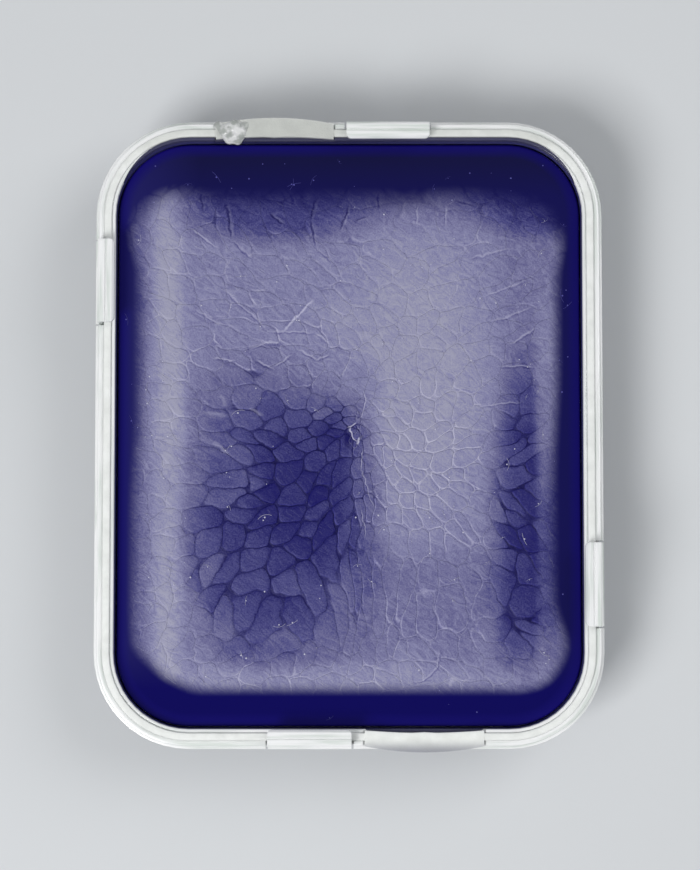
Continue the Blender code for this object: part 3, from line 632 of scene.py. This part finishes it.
def soaked_until(tree, point, places, begins, ends, left):
    """How dark soaked places are, which fall to a share that is left between two lines across X, in mm."""
    side = add_node(tree, SPLIT, {0: point}).outputs["X"]
    limits = {"Value": side, "From Min": begins, "From Max": ends, "To Min": 1.0, "To Max": left}
    kept = add_node(tree, RANGE, limits, interpolation_type="SMOOTHSTEP")
    return add_node(tree, MATH, {0: soak(tree, point, places), 1: kept}, operation="MULTIPLY")


def bloom(tree, point):
    """Distance in mm from the edge of the bloom, negative inside it."""
    moved = add_node(tree, VECTOR, {0: point, 1: (*BLOOM_CENTRE_MM, 0.0)}, operation="SUBTRACT")
    plain = rounded_distance(tree, moved, BLOOM_HALF_MM, BLOOM_CORNER_MM)
    return add_node(tree, MATH, {0: plain, 1: soak(tree, point, CORNERS)}, operation="ADD")


def creases(tree, point):
    """The single creases at a point in mm: how much shows of their dark lines of painted shade and of their pale
    painted highlights.
    """
    shown = [0.0, 0.0]
    bent = swayed(tree, point, CREASE_SWAYS_MM)
    for middle, turn, half, bow, width, *amounts in CREASES:
        away = add_node(tree, VECTOR, {0: bent, 1: (*middle, 0.0)}, operation="SUBTRACT")
        run = (math.cos(math.radians(turn)), math.sin(math.radians(turn)), 0.0)
        aside = (-run[1], run[0], 0.0)
        along = add_node(tree, VECTOR, {0: away, 1: run}, operation="DOT_PRODUCT").outputs["Value"]
        off = add_node(tree, VECTOR, {0: away, 1: aside}, operation="DOT_PRODUCT").outputs["Value"]
        square = add_node(tree, MATH, {0: along, 1: along}, operation="MULTIPLY")
        off = add_node(tree, MATH, {0: square, 1: -bow, 2: off}, operation="MULTIPLY_ADD")
        along = add_node(tree, MATH, {0: along}, operation="ABSOLUTE")
        ends = {"Value": along, "From Min": 0.4 * half, "From Max": half, "To Min": 1.0, "To Max": 0.0}
        ends = add_node(tree, RANGE, ends, interpolation_type="SMOOTHSTEP")
        for k, amount in enumerate(amounts):
            if amount:
                across = add_node(tree, MATH, {0: off, 1: k * 2.2 * width}, operation="SUBTRACT")
                across = add_node(tree, MATH, {0: across}, operation="ABSOLUTE")
                limits = {"Value": across, "From Max": 2 * width, "To Min": amount, "To Max": 0.0}
                across = add_node(tree, RANGE, limits, interpolation_type="SMOOTHSTEP")
                across = add_node(tree, MATH, {0: across, 1: ends}, operation="MULTIPLY")
                shown[k] = add_node(tree, MATH, {0: shown[k], 1: across}, operation="MAXIMUM")
    return shown


# Colours from soaked to dry: the bloom, the crease lines in it painted as shade, and the highlights painted beside
# them
TONES = (
    (0.0, "#161260"),
    (0.18, "#282669"),
    (0.38, "#4b4a82"),
    (0.58, "#6d6b95"),
    (0.78, "#8786ab"),
    (1.0, "#9f9eb5"),
)
CREASE_SHADE_TONES = ((0.0, "#0a0744"), (0.3, "#110d50"), (0.5, "#2b2964"), (0.7, "#504e84"), (0.9, "#6a6894"))
HIGHLIGHT_TONES = ((0.0, "#38369a"), (0.3, "#5d5ba0"), (0.5, "#8f8db8"), (0.7, "#b2b0cb"), (0.9, "#c0bed4"))
# How far toward the light, in mm, a point looks for the crease whose painted highlight it shows
HIGHLIGHT_SHIFT_MM = (-0.22, -0.26)
# How the crumple is stretched, and where its painted highlights are seen from
CRUMPLE_STRETCH = (1 / 1.1, 1 / 2.4, 0.0)
CRUMPLE_HIGHLIGHT_MM = (-0.22, -0.12)
CRUMPLE_SWAYS_MM = ((2.0, 1.6),)
BASE_LEVEL = 0.73
# A painted reflection, a plain haze from a straight line, covers the cells beside the right wall
REFLECTION_FROM_MM = 36.3
REFLECTION_FULL_MM = 38.9
STRAYS_MM = ((9.0, 2.6),)
# Fine wrinkles, long one way, that stand in relief and whose shade is also painted as mottling
WRINKLE_MM = (3.4, 1.5)
WRINKLE_TURN = math.radians(-38)
GRAIN_MM = 0.3
BROKEN_MM = 6.0


def coloured(made, stops):
    """Gives a ramp its stops, as positions and sRGB hex colours."""
    elements = made.color_ramp.elements
    while len(elements) < len(stops):
        elements.new(1.0)
    for element, (position, colour) in zip(elements, stops):
        element.position = position
        element.color = linear(colour)
    return made


def crumpled(tree, point, shift):
    """The tight folds at the draw point, long in Y, seen a shift in mm aside."""
    beside = add_node(tree, VECTOR, {0: point, 1: (*shift, 0.0)}, operation="ADD")
    bent = swayed(tree, beside, CRUMPLE_SWAYS_MM)
    tight = add_node(tree, VECTOR, {0: bent, 1: CRUMPLE_STRETCH}, operation="MULTIPLY")
    edge = pebbles(tree, tight, 1.0)[0]
    limits = {"Value": edge, "From Min": 0.55, "From Max": 1.05}
    folds = add_node(tree, RANGE, limits, interpolation_type="SMOOTHSTEP")
    return add_node(tree, MATH, {0: folds, 1: soak(tree, point, CRUMPLE)}, operation="MULTIPLY")


def soaked_sheet():
    """Wet absorbent sheet: matt lilac bloom, dark soaked cells, crease lines painted as shade with painted highlights
    beside them, and a glossy blue margin.
    """
    made, tree, point = new_material("soaked palette sheet")
    parts = add_node(tree, SPLIT, {0: point}).outputs
    edge, shade = cockles(tree, point)
    # The crease looked for a little toward the light, whose pale side is painted as a highlight
    beside = add_node(tree, VECTOR, {0: point, 1: (*HIGHLIGHT_SHIFT_MM, 0.0)}, operation="ADD")
    edge_toward_light = cockles(tree, beside)[0]
    strayed = swayed(tree, point, STRAYS_MM)
    cells = soaked_until(tree, strayed, SOAKED, -2.0, 10.0, 0.0)
    # The pool fades under the painted reflection beside the right wall
    pool = soaked_until(tree, point, POOLED, REFLECTION_FROM_MM, REFLECTION_FULL_MM, 0.4)
    wet = add_node(tree, MATH, {0: cells, 1: pool}, operation="ADD")
    wetness = {"Value": wet, "From Min": -0.05, "From Max": -0.40}
    wetness = add_node(tree, RANGE, wetness, interpolation_type="SMOOTHSTEP")

    # The valleys between the domes are painted darker as shade where the sheet is soaked, and the tone has a fine
    # grain over wider mottling that paints the wrinkles' shade
    valley = add_node(tree, RANGE, {"Value": edge}, interpolation_type="SMOOTHSTEP")
    run = (math.cos(WRINKLE_TURN) / WRINKLE_MM[0], math.sin(WRINKLE_TURN) / WRINKLE_MM[0], 0.0)
    off = (-math.sin(WRINKLE_TURN) / WRINKLE_MM[1], math.cos(WRINKLE_TURN) / WRINKLE_MM[1], 0.0)
    run = add_node(tree, VECTOR, {0: point, 1: run}, operation="DOT_PRODUCT").outputs["Value"]
    off = add_node(tree, VECTOR, {0: point, 1: off}, operation="DOT_PRODUCT").outputs["Value"]
    wrinkle = {"Vector": add_node(tree, JOIN, {"X": run, "Y": off}), "Detail": 2.0, "Distortion": 1.8, "Scale": 1.0}
    wrinkle = add_node(tree, NOISE, wrinkle, noise_dimensions="2D")
    grain = {"Vector": point, "Scale": 1 / GRAIN_MM, "Detail": 2.0}
    grain = add_node(tree, NOISE, grain, noise_dimensions="2D")
    depth = add_node(tree, RANGE, {"Value": wetness, "To Min": 0.0, "To Max": -0.07})
    level = add_node(tree, MATH, {0: soak(tree, point, PALER), 1: BASE_LEVEL}, operation="ADD")
    level = add_node(tree, MATH, {0: level, 1: wet}, operation="ADD")
    level = add_node(tree, MATH, {0: valley, 1: depth, 2: level}, operation="MULTIPLY_ADD")
    own = add_node(tree, RANGE, {"Value": wetness, "To Min": 0.03, "To Max": 0.22})
    wrinkle_shade = add_node(tree, RANGE, {"Value": wetness, "To Min": 0.40, "To Max": 0.20})
    for texture, amount in ((shade, own), (wrinkle, wrinkle_shade), (grain, 0.34)):
        centred = add_node(tree, MATH, {0: texture, 1: 0.5}, operation="SUBTRACT")
        level = add_node(tree, MATH, {0: centred, 1: amount, 2: level}, operation="MULTIPLY_ADD")
    tone = coloured(add_node(tree, RAMP, {0: level}), TONES)
    lit = coloured(add_node(tree, RAMP, {0: level}), HIGHLIGHT_TONES)
    crease_shade = coloured(add_node(tree, RAMP, {0: level}), CREASE_SHADE_TONES)

    # Crease lines are painted dark as shade in the creases, widest at their junctions where the sheet is soaked, and
    # elsewhere are thin and broken; a pale painted highlight lies beside each
    begins = add_node(tree, RANGE, {"Value": wetness, "To Min": 0.80, "To Max": 0.55})
    ends = add_node(tree, RANGE, {"Value": wetness, "To Min": 1.10, "To Max": 1.00})
    crease = {"Value": edge, "From Min": begins, "From Max": ends}
    crease = add_node(tree, RANGE, crease, interpolation_type="SMOOTHSTEP")
    highlight = add_node(tree, MATH, {0: edge_toward_light, 1: 0.95}, operation="SUBTRACT")
    highlight = add_node(tree, MATH, {0: highlight}, operation="ABSOLUTE")
    highlight = {"Value": highlight, "From Max": 0.32, "To Min": 1.0, "To Max": 0.0}
    highlight = add_node(tree, RANGE, highlight, interpolation_type="SMOOTHSTEP")
    broken = {"Vector": point, "Scale": 1 / BROKEN_MM, "Detail": 2.0}
    broken = add_node(tree, NOISE, broken, noise_dimensions="2D")
    gaps = add_node(tree, RANGE, {"Value": broken, "From Min": 0.44, "From Max": 0.64})
    lined = add_node(tree, RANGE, {"Value": wetness, "To Min": 0.03, "To Max": 1.0})
    lined = add_node(tree, MATH, {0: soak(tree, point, LINED), 1: lined}, operation="ADD", use_clamp=True)
    highlight_amount = add_node(tree, MATH, {0: soak(tree, point, HIGHLIGHTED_PLACES), 1: 0.34}, operation="ADD", use_clamp=True)
    # Crease lines fade under the painted reflection beside the right wall
    under_reflection = {"Value": parts["X"], "From Min": REFLECTION_FROM_MM, "From Max": REFLECTION_FULL_MM, "To Min": 1.0, "To Max": 0.4}
    under_reflection = add_node(tree, RANGE, under_reflection, interpolation_type="SMOOTHSTEP")
    kept = add_node(tree, RANGE, {"Value": wetness, "To Min": 0.0, "To Max": 0.6})
    kept = add_node(tree, MATH, {0: gaps, 1: kept}, operation="MAXIMUM")
    kept = add_node(tree, MATH, {0: kept, 1: under_reflection}, operation="MULTIPLY")
    closed = add_node(tree, MATH, {0: soak(tree, point, CLOSED), 1: kept}, operation="MAXIMUM")
    line = add_node(tree, MATH, {0: crease, 1: closed}, operation="MULTIPLY")
    line = add_node(tree, MATH, {0: line, 1: lined}, operation="MULTIPLY", use_clamp=True)
    raised = add_node(tree, MATH, {0: highlight, 1: closed}, operation="MULTIPLY")
    raised = add_node(tree, MATH, {0: raised, 1: highlight_amount}, operation="MULTIPLY", use_clamp=True)

    # Over them run single creases, and the crumple at the draw point
    dark, pale = creases(tree, point)
    tight = crumpled(tree, point, (0.0, 0.0))
    tight_highlight = crumpled(tree, point, CRUMPLE_HIGHLIGHT_MM)
    line = add_node(tree, MATH, {0: line, 1: dark}, operation="MAXIMUM")
    line = add_node(tree, MATH, {0: line, 1: tight}, operation="MAXIMUM")
    highlit = add_node(tree, MIX, {0: raised, 6: tone, 7: lit}, data_type="RGBA")
    sunken = add_node(tree, MIX, {0: line, 6: highlit, 7: crease_shade}, data_type="RGBA")
    pooled = {0: soak(tree, point, POOL), 6: sunken, 7: linear("#14105a")}
    pooled = add_node(tree, MIX, pooled, data_type="RGBA")
    # The crumple's lit sides and the single creases' pale sides and glints are painted highlights
    thread = add_node(tree, MATH, {0: tight_highlight, 1: 0.2}, operation="MULTIPLY")
    thread = add_node(tree, MATH, {0: thread, 1: pale}, operation="MAXIMUM")
    creased = add_node(tree, MIX, {0: thread, 6: pooled, 7: linear("#c6c4dc")}, data_type="RGBA")

    # Glossy margin: bluest at the walls and the near side, palest at the left and darkest at the far side
    left = add_node(tree, RANGE, {"Value": parts["X"], "From Min": -30.0, "From Max": -44.0})
    far = add_node(tree, RANGE, {"Value": parts["Y"], "From Min": 48.0, "From Max": 55.0})
    near = add_node(tree, RANGE, {"Value": parts["Y"], "From Min": -42.0, "From Max": -51.0})
    wall = rounded_distance(tree, point, SHEET_HALF_MM, SHEET_CORNER_MM)
    beside_wall = add_node(tree, RANGE, {"Value": wall, "From Min": -2.6, "From Max": -0.6})
    margin = add_node(tree, MIX, {0: far, 6: linear("#12104f"), 7: linear("#121140")}, data_type="RGBA")
    margin = add_node(tree, MIX, {0: left, 6: margin, 7: linear("#1f1d5e")}, data_type="RGBA")
    margin = add_node(tree, MIX, {0: near, 6: margin, 7: linear("#0a0557")}, data_type="RGBA")
    margin = add_node(tree, MIX, {0: beside_wall, 6: margin, 7: linear("#120b66")}, data_type="RGBA")

    # The bloom fades over a few mm at its edge, and wider at the far and near sides, where it follows the domes
    far_fade = {"Value": parts["Y"], "From Min": 36.0, "From Max": 46.0, "To Min": 1.8, "To Max": 3.4}
    near_fade = {"Value": parts["Y"], "From Min": -42.0, "From Max": -50.0, "To Min": 0.0, "To Max": -0.1}
    far_fade = add_node(tree, RANGE, far_fade)
    fade = add_node(tree, MATH, {0: far_fade, 1: add_node(tree, RANGE, near_fade)}, operation="ADD")
    lobes = {"Value": parts["Y"], "From Min": 30.0, "From Max": 44.0, "To Min": 0.0, "To Max": 0.6}
    lobes = add_node(tree, RANGE, lobes)
    scallop = add_node(tree, MATH, {0: valley, 1: lobes, 2: bloom(tree, point)}, operation="MULTIPLY_ADD")
    away = add_node(tree, MATH, {0: scallop, 1: fade}, operation="DIVIDE")
    veil = {"Value": away, "From Min": -1.0, "From Max": 1.0, "To Min": 1.0, "To Max": 0.0}
    veil = add_node(tree, RANGE, veil, interpolation_type="SMOOTHSTEP")
    colour = add_node(tree, MIX, {0: veil, 6: margin, 7: creased}, data_type="RGBA")

    # Grain and the cells' edges stand in relief too small for the mesh
    gloss = add_node(tree, RANGE, {"Value": veil, "To Min": 0.10, "To Max": 0.46})
    sunk = add_node(tree, MATH, {0: crease, 1: -0.6}, operation="MULTIPLY")
    relief = add_node(tree, MATH, {0: grain, 1: 0.22, 2: sunk}, operation="MULTIPLY_ADD")
    relief = add_node(tree, MATH, {0: wrinkle, 1: 1.2, 2: relief}, operation="MULTIPLY_ADD")
    bump = add_node(tree, "ShaderNodeBump", {"Height": relief, "Strength": veil, "Distance": 0.14 * MM})
    finish(tree, Base_Color=colour, Roughness=gloss, Normal=bump, Specular_IOR_Level=0.15)
    return made


def sheet_tree(material, **inputs):
    """A closed sheet: a fine grid with rounded corners, cockled inside the bloom, over a flat underside."""
    tree = bpy.data.node_groups.new("cockled_sheet", "GeometryNodeTree")
    sizes = add_inputs(tree, **inputs)
    spans = {"Size X": sizes["Width"], "Size Y": sizes["Length"]}
    counts = {"Vertices X": sizes["Columns"], "Vertices Y": sizes["Rows"]}
    grid = add_node(tree, "GeometryNodeMeshGrid", {**spans, **counts})

    # Square corners are drawn in to arcs
    spot = add_node(tree, "GeometryNodeInputPosition")
    extent = add_node(tree, JOIN, {"X": sizes["Width"], "Y": sizes["Length"]})
    half = add_node(tree, VECTOR, {0: extent, "Scale": 0.5}, operation="SCALE")
    inset = add_node(tree, JOIN, {"X": sizes["Corner"], "Y": sizes["Corner"]})
    straight = add_node(tree, VECTOR, {0: half, 1: inset}, operation="SUBTRACT")
    folded = add_node(tree, VECTOR, {0: spot}, operation="ABSOLUTE")
    core = add_node(tree, VECTOR, {0: folded, 1: straight}, operation="MINIMUM")
    beyond = add_node(tree, VECTOR, {0: folded, 1: core}, operation="SUBTRACT")
    length = add_node(tree, VECTOR, {0: beyond}, operation="LENGTH")
    parts = add_node(tree, SPLIT, {0: beyond}).outputs
    widest = add_node(tree, MATH, {0: parts["X"], 1: parts["Y"]}, operation="MAXIMUM")
    draw = add_node(tree, MATH, {0: widest, 1: length}, operation="DIVIDE")
    rounded = add_node(tree, VECTOR, {0: beyond, "Scale": draw}, operation="SCALE")
    corner = add_node(tree, VECTOR, {0: core, 1: rounded}, operation="ADD")
    sign = add_node(tree, VECTOR, {0: spot}, operation="SIGN")
    outline = add_node(tree, VECTOR, {0: corner, 1: sign}, operation="MULTIPLY")
    cut = add_node(tree, "GeometryNodeSetPosition", {"Geometry": grid, "Position": outline})

    # Cells rise inside the bloom, most where they are soaked, and the margin lies flat
    point = add_node(tree, VECTOR, {0: spot, "Scale": PER_MM}, operation="SCALE")
    edge = cockles(tree, point)[0]
    dome = {"Value": edge, "To Min": 1.0, "To Max": 0.0}
    dome = add_node(tree, RANGE, dome, interpolation_type="SMOOTHSTEP")
    inside = {"Value": bloom(tree, point), "From Min": -6.0, "From Max": 1.0, "To Min": 1.0, "To Max": 0.0}
    inside = add_node(tree, RANGE, inside, interpolation_type="SMOOTHSTEP")
    soaked = soaked_until(tree, point, SOAKED, -2.0, 10.0, 0.0)
    wet = {"Value": soaked, "From Max": -0.4, "To Min": 0.25, "To Max": 1.0}
    rise = add_node(tree, MATH, {0: dome, 1: inside}, operation="MULTIPLY")
    rise = add_node(tree, MATH, {0: rise, 1: add_node(tree, RANGE, wet)}, operation="MULTIPLY")
    lift = add_node(tree, MATH, {0: rise, 1: sizes["Relief"], 2: sizes["Top"]}, operation="MULTIPLY_ADD")
    up = add_node(tree, JOIN, {"Z": lift})
    raised = add_node(tree, "GeometryNodeSetPosition", {"Geometry": cut, "Offset": up})

    # Side wall and underside close the sheet
    faces = add_node(tree, "GeometryNodeInputMeshEdgeNeighbors")
    border = add_node(tree, "FunctionNodeCompare", {2: faces, 3: 1}, data_type="INT", operation="EQUAL")
    drop = add_node(tree, MATH, {0: sizes["Thickness"], 1: -1.0}, operation="MULTIPLY")
    rim = {"Mesh": raised, "Selection": border, "Offset": add_node(tree, JOIN, {"Z": drop}), "Offset Scale": 1.0}
    wall = add_node(tree, "GeometryNodeExtrudeMesh", rim, mode="EDGES")
    hem = add_node(tree, "GeometryNodeMeshToCurve", {"Mesh": wall, "Selection": wall.outputs["Top"]})
    under = add_node(tree, "GeometryNodeFillCurve", {"Curve": hem})
    level = add_node(tree, MATH, {0: sizes["Top"], 1: sizes["Thickness"]}, operation="SUBTRACT")
    down = add_node(tree, JOIN, {"Z": level})
    lowered = add_node(tree, "GeometryNodeSetPosition", {"Geometry": under, "Offset": down})
    both = add_node(tree, "GeometryNodeJoinGeometry", {0: lowered})
    tree.links.new(wall.outputs["Mesh"], both.inputs[0])
    closed = add_node(tree, "GeometryNodeMergeByDistance", {"Geometry": both, "Distance": WELD})
    dress(tree, closed, material)
    return tree


sheet_sizes = {
    "Width": sheet_high.x - sheet_low.x,
    "Length": sheet_high.y - sheet_low.y,
    "Corner": SHEET_CORNER_MM * MM,
    "Columns": SHEET_COLUMNS,
    "Rows": SHEET_ROWS,
    "Top": sheet_low.z + SHEET_THICKNESS,
    "Thickness": SHEET_THICKNESS,
    "Relief": RELIEF,
}
paper = soaked_sheet()
sheet_mesh = grown(bpy.data.meshes.new("cockled_sheet"), sheet_tree(paper, **sheet_sizes), **sheet_sizes)
work = bmesh.new()
work.from_mesh(sheet_mesh)
bmesh.ops.recalc_face_normals(work, faces=work.faces)
work.to_mesh(sheet_mesh)
work.free()
sheet = place("cockled_sheet", sheet_mesh, paper, "sheet", "palette_sheet", "palette_sheet")

# Lint and specks
# Loose fibres and crumbs that have settled on the wet sheet and stuck there. The fibres are cotton, thin and
# bent, and soak up some of the blue; the crumbs are dry and white.
FIBRE_LENGTH = 2.2 * MM
FIBRE_RADIUS = 0.04 * MM
FIBRE_BENDS = (0.12, 0.35, -0.25)
FIBRE_LIFT = 0.06 * MM
CRUMB_RADIUS = 0.17 * MM
CLEAR_OF_WALL_MM = 1.6


def settled(name, dry, soaked):
    """Fluff that is dry and white on the bloom, and soaked in the margin."""
    made, tree, point = new_material(name)
    away = bloom(tree, point)
    wet = add_node(tree, RANGE, {"Value": away, "From Min": -2.0, "From Max": 1.0})
    tint = add_node(tree, MIX, {0: wet, 6: linear(dry), 7: linear(soaked)}, data_type="RGBA")
    finish(tree, Base_Color=tint, Roughness=0.8, Specular_IOR_Level=0.2)
    return made


def fibres(tree):
    """Short bent threads, one shape for each bend."""
    shapes = []
    for bend in FIBRE_BENDS:
        ends = {"Start": (-FIBRE_LENGTH / 2, 0.0, 0.0), "End": (FIBRE_LENGTH / 2, 0.0, 0.0)}
        bow = {"Resolution": 6, "Middle": (0.0, bend * FIBRE_LENGTH, 0.0), **ends}
        thread = add_node(tree, "GeometryNodeCurveQuadraticBezier", bow)
        ring = add_node(tree, "GeometryNodeCurvePrimitiveCircle", {"Resolution": 4, "Radius": FIBRE_RADIUS})
        made = {"Curve": thread, "Profile Curve": ring, "Fill Caps": True}
        shapes.append(add_node(tree, "GeometryNodeCurveToMesh", made))
    return shapes


def crumbs(tree):
    """One small round crumb."""
    return [add_node(tree, "GeometryNodeMeshIcoSphere", {"Radius": CRUMB_RADIUS, "Subdivisions": 1})]


def scatter_tree(name, shapes, material, **inputs):
    """Shapes scattered over the faces that look up, clear of the wall, turned and sized at random."""
    tree = bpy.data.node_groups.new(name, "GeometryNodeTree")
    tree.interface.new_socket("Ground", in_out="INPUT", socket_type="NodeSocketGeometry")
    sizes = add_inputs(tree, **inputs)
    normal = add_node(tree, SPLIT, {0: add_node(tree, "GeometryNodeInputNormal")}).outputs["Z"]
    upward = add_node(tree, "FunctionNodeCompare", {0: normal, 1: 0.5}, operation="GREATER_THAN")
    spot = add_node(tree, "GeometryNodeInputPosition")
    point = add_node(tree, VECTOR, {0: spot, "Scale": PER_MM}, operation="SCALE")
    wall = rounded_distance(tree, point, SHEET_HALF_MM, SHEET_CORNER_MM)
    inside = add_node(tree, "FunctionNodeCompare", {0: wall, 1: -CLEAR_OF_WALL_MM}, operation="LESS_THAN")
    bed = add_node(tree, "FunctionNodeBooleanMath", {0: upward, 1: inside}, operation="AND")
    spots = {"Mesh": sizes["Ground"], "Selection": bed, "Density": sizes["Density"], "Seed": sizes["Seed"]}
    spots = add_node(tree, "GeometryNodeDistributePointsOnFaces", spots)
    kinds = add_node(tree, "GeometryNodeGeometryToInstance")
    for shape in shapes(tree):
        tree.links.new(shape.outputs[0], kinds.inputs[0])
    turn = add_node(tree, "FunctionNodeRandomValue", {2: 0.0, 3: math.tau, "Seed": 1})
    size = add_node(tree, "FunctionNodeRandomValue", {2: 0.45, 3: 1.35, "Seed": 2})
    kind = add_node(tree, "FunctionNodeRandomValue", {4: 0, 5: 2, "Seed": 3}, data_type="INT")
    turned = add_node(tree, JOIN, {"Z": turn})
    laid = {"Points": spots, "Instance": kinds, "Pick Instance": True, "Instance Index": kind}
    laid = add_node(tree, "GeometryNodeInstanceOnPoints", {**laid, "Rotation": turned, "Scale": size})
    lift = add_node(tree, JOIN, {"Z": sizes["Lift"]})
    dress(tree, add_node(tree, "GeometryNodeSetPosition", {"Geometry": laid, "Offset": lift}), material)
    return tree


for name, shapes, density, lift, colours in (
    ("lint", fibres, 9000.0, FIBRE_LIFT, ("#aaa8c4", "#413f8c")),
    ("crumbs", crumbs, 16000.0, 0.0, ("#c4c3d8", "#5553a0")),
):
    fluff = settled(f"settled {name}", *colours)
    spread = {"Density": density, "Seed": 7, "Lift": lift}
    mesh = grown(sheet_mesh.copy(), scatter_tree(name, shapes, fluff, **spread), **spread)
    place(name, mesh, fluff, "sheet", "palette_sheet")

# Gel drop
# A lump of clear gel that has set on the far rim beside the pull tab. It ran a little along the rim and down
# to the inside, and set with a bumpy skin.
GEL_LUMPS_MM = (
    ((-26.2, 61.6, 19.6), 1.3),
    ((-24.6, 60.6, 20.0), 1.7),
    ((-23.0, 61.4, 20.1), 1.7),
    ((-21.8, 60.4, 20.0), 1.5),
    ((-24.0, 59.3, 19.5), 1.3),
    ((-22.4, 59.0, 19.4), 1.1),
    ((-20.8, 61.8, 19.8), 1.2),
)
GEL_VOXEL = 0.25 * MM
GEL_DENT_MM = 1.6


def clear_gel():
    """Clear set gel: wet gloss, dents that catch the light, and cloudy lumps inside, painted white on the raised dents
    and grey between them, partly as highlight and shade.
    """
    made, tree, point = new_material("clear set gel")
    dents = add_node(tree, NOISE, {"Vector": point, "Scale": 1 / GEL_DENT_MM, "Detail": 2.0})
    # White on the raised dents and grey between them: cloud in the gel, with painted highlight and shade
    cloud = add_node(tree, RANGE, {"Value": dents, "From Min": 0.40, "From Max": 0.58})
    tint = add_node(tree, MIX, {0: cloud, 6: linear("#c4c8c4"), 7: linear("#ffffff")}, data_type="RGBA")
    bump = add_node(tree, "ShaderNodeBump", {"Height": dents, "Strength": 0.8, "Distance": 0.5 * MM})
    finish(tree, Base_Color=tint, Normal=bump, Roughness=0.08, IOR=1.45, Transmission_Weight=0.3)
    return made


lumps = bmesh.new()
for middle, radius in GEL_LUMPS_MM:
    at = Matrix.Translation(Vector(middle) * MM)
    bmesh.ops.create_icosphere(lumps, subdivisions=3, radius=radius * MM, matrix=at)
gel_mesh = bpy.data.meshes.new("gel_drop")
lumps.to_mesh(gel_mesh)
lumps.free()
gel_stand = bpy.data.objects.new("gel_drop", gel_mesh)
scene.collection.objects.link(gel_stand)
skin = gel_stand.modifiers.new("skin", "REMESH")
skin.mode = "VOXEL"
skin.voxel_size = GEL_VOXEL
soften = gel_stand.modifiers.new("soften", "SMOOTH")
soften.iterations = 24
graph = bpy.context.evaluated_depsgraph_get()
gel = bpy.data.meshes.new_from_object(gel_stand.evaluated_get(graph))
bpy.data.objects.remove(gel_stand)
gel.shade_smooth()
place("gel_drop", gel, clear_gel(), "tray", "silicone")

# Stage
# A plain pale floor, a large soft lamp high at the left, a weak one at the right and an even grey surround.
FLOOR_HALF = 3.0
floor_mesh = bpy.data.meshes.new("floor")
floor_work = bmesh.new()
bmesh.ops.create_grid(floor_work, x_segments=1, y_segments=1, size=FLOOR_HALF)
floor_work.to_mesh(floor_mesh)
floor_work.free()
floor = bpy.data.objects.new("floor", floor_mesh)
scene.collection.objects.link(floor)
card, card_tree, _ = new_material("pale card")
finish(card_tree, Base_Color=linear("#d6d8da"), Roughness=0.9, Specular_IOR_Level=0.1)
floor_mesh.materials.append(card)

LAMPS = (
    ("key_lamp", (-0.45, -0.42, 0.80), 0.4, 6.4),
    ("fill_lamp", (0.60, 0.30, 0.70), 0.6, 3.0),
)
for name, spot, size, power in LAMPS:
    lamp = bpy.data.lights.new(name, "AREA")
    lamp.size = size
    lamp.energy = power
    holder = bpy.data.objects.new(name, lamp)
    scene.collection.objects.link(holder)
    holder.location = spot
    holder.rotation_euler = (-Vector(spot)).to_track_quat("-Z", "Y").to_euler()

world = bpy.data.worlds.new("studio")
scene.world = world
world.use_nodes = True
world.node_tree.nodes["Background"].inputs["Color"].default_value = linear("#c8ccd0")
world.node_tree.nodes["Background"].inputs["Strength"].default_value = 0.44

# Camera
# Almost straight above, a little nearer the near side, at the photograph's five pixels to the millimetre.
FRAME_HEIGHT_PX = 870
PX_PER_MM = 5.017
CAMERA_RISE = 0.450
CAMERA_TILT = math.radians(3.6)
CAMERA_AIM = (0.2 * MM, -0.5 * MM)
SENSOR_MM = 36.0
eye = bpy.data.cameras.new("camera")
eye.sensor_width = SENSOR_MM
eye.lens = SENSOR_MM * CAMERA_RISE * PER_MM / (FRAME_HEIGHT_PX / PX_PER_MM)
camera = bpy.data.objects.new("camera", eye)
scene.collection.objects.link(camera)
target = Vector((*CAMERA_AIM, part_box("tray")[1].z))
back = Vector((0.0, -math.sin(CAMERA_TILT), math.cos(CAMERA_TILT)))
camera.location = target + CAMERA_RISE * back
camera.rotation_euler = (CAMERA_TILT, 0.0, 0.0)
scene.camera = camera
scene.view_settings.view_transform = "Standard"
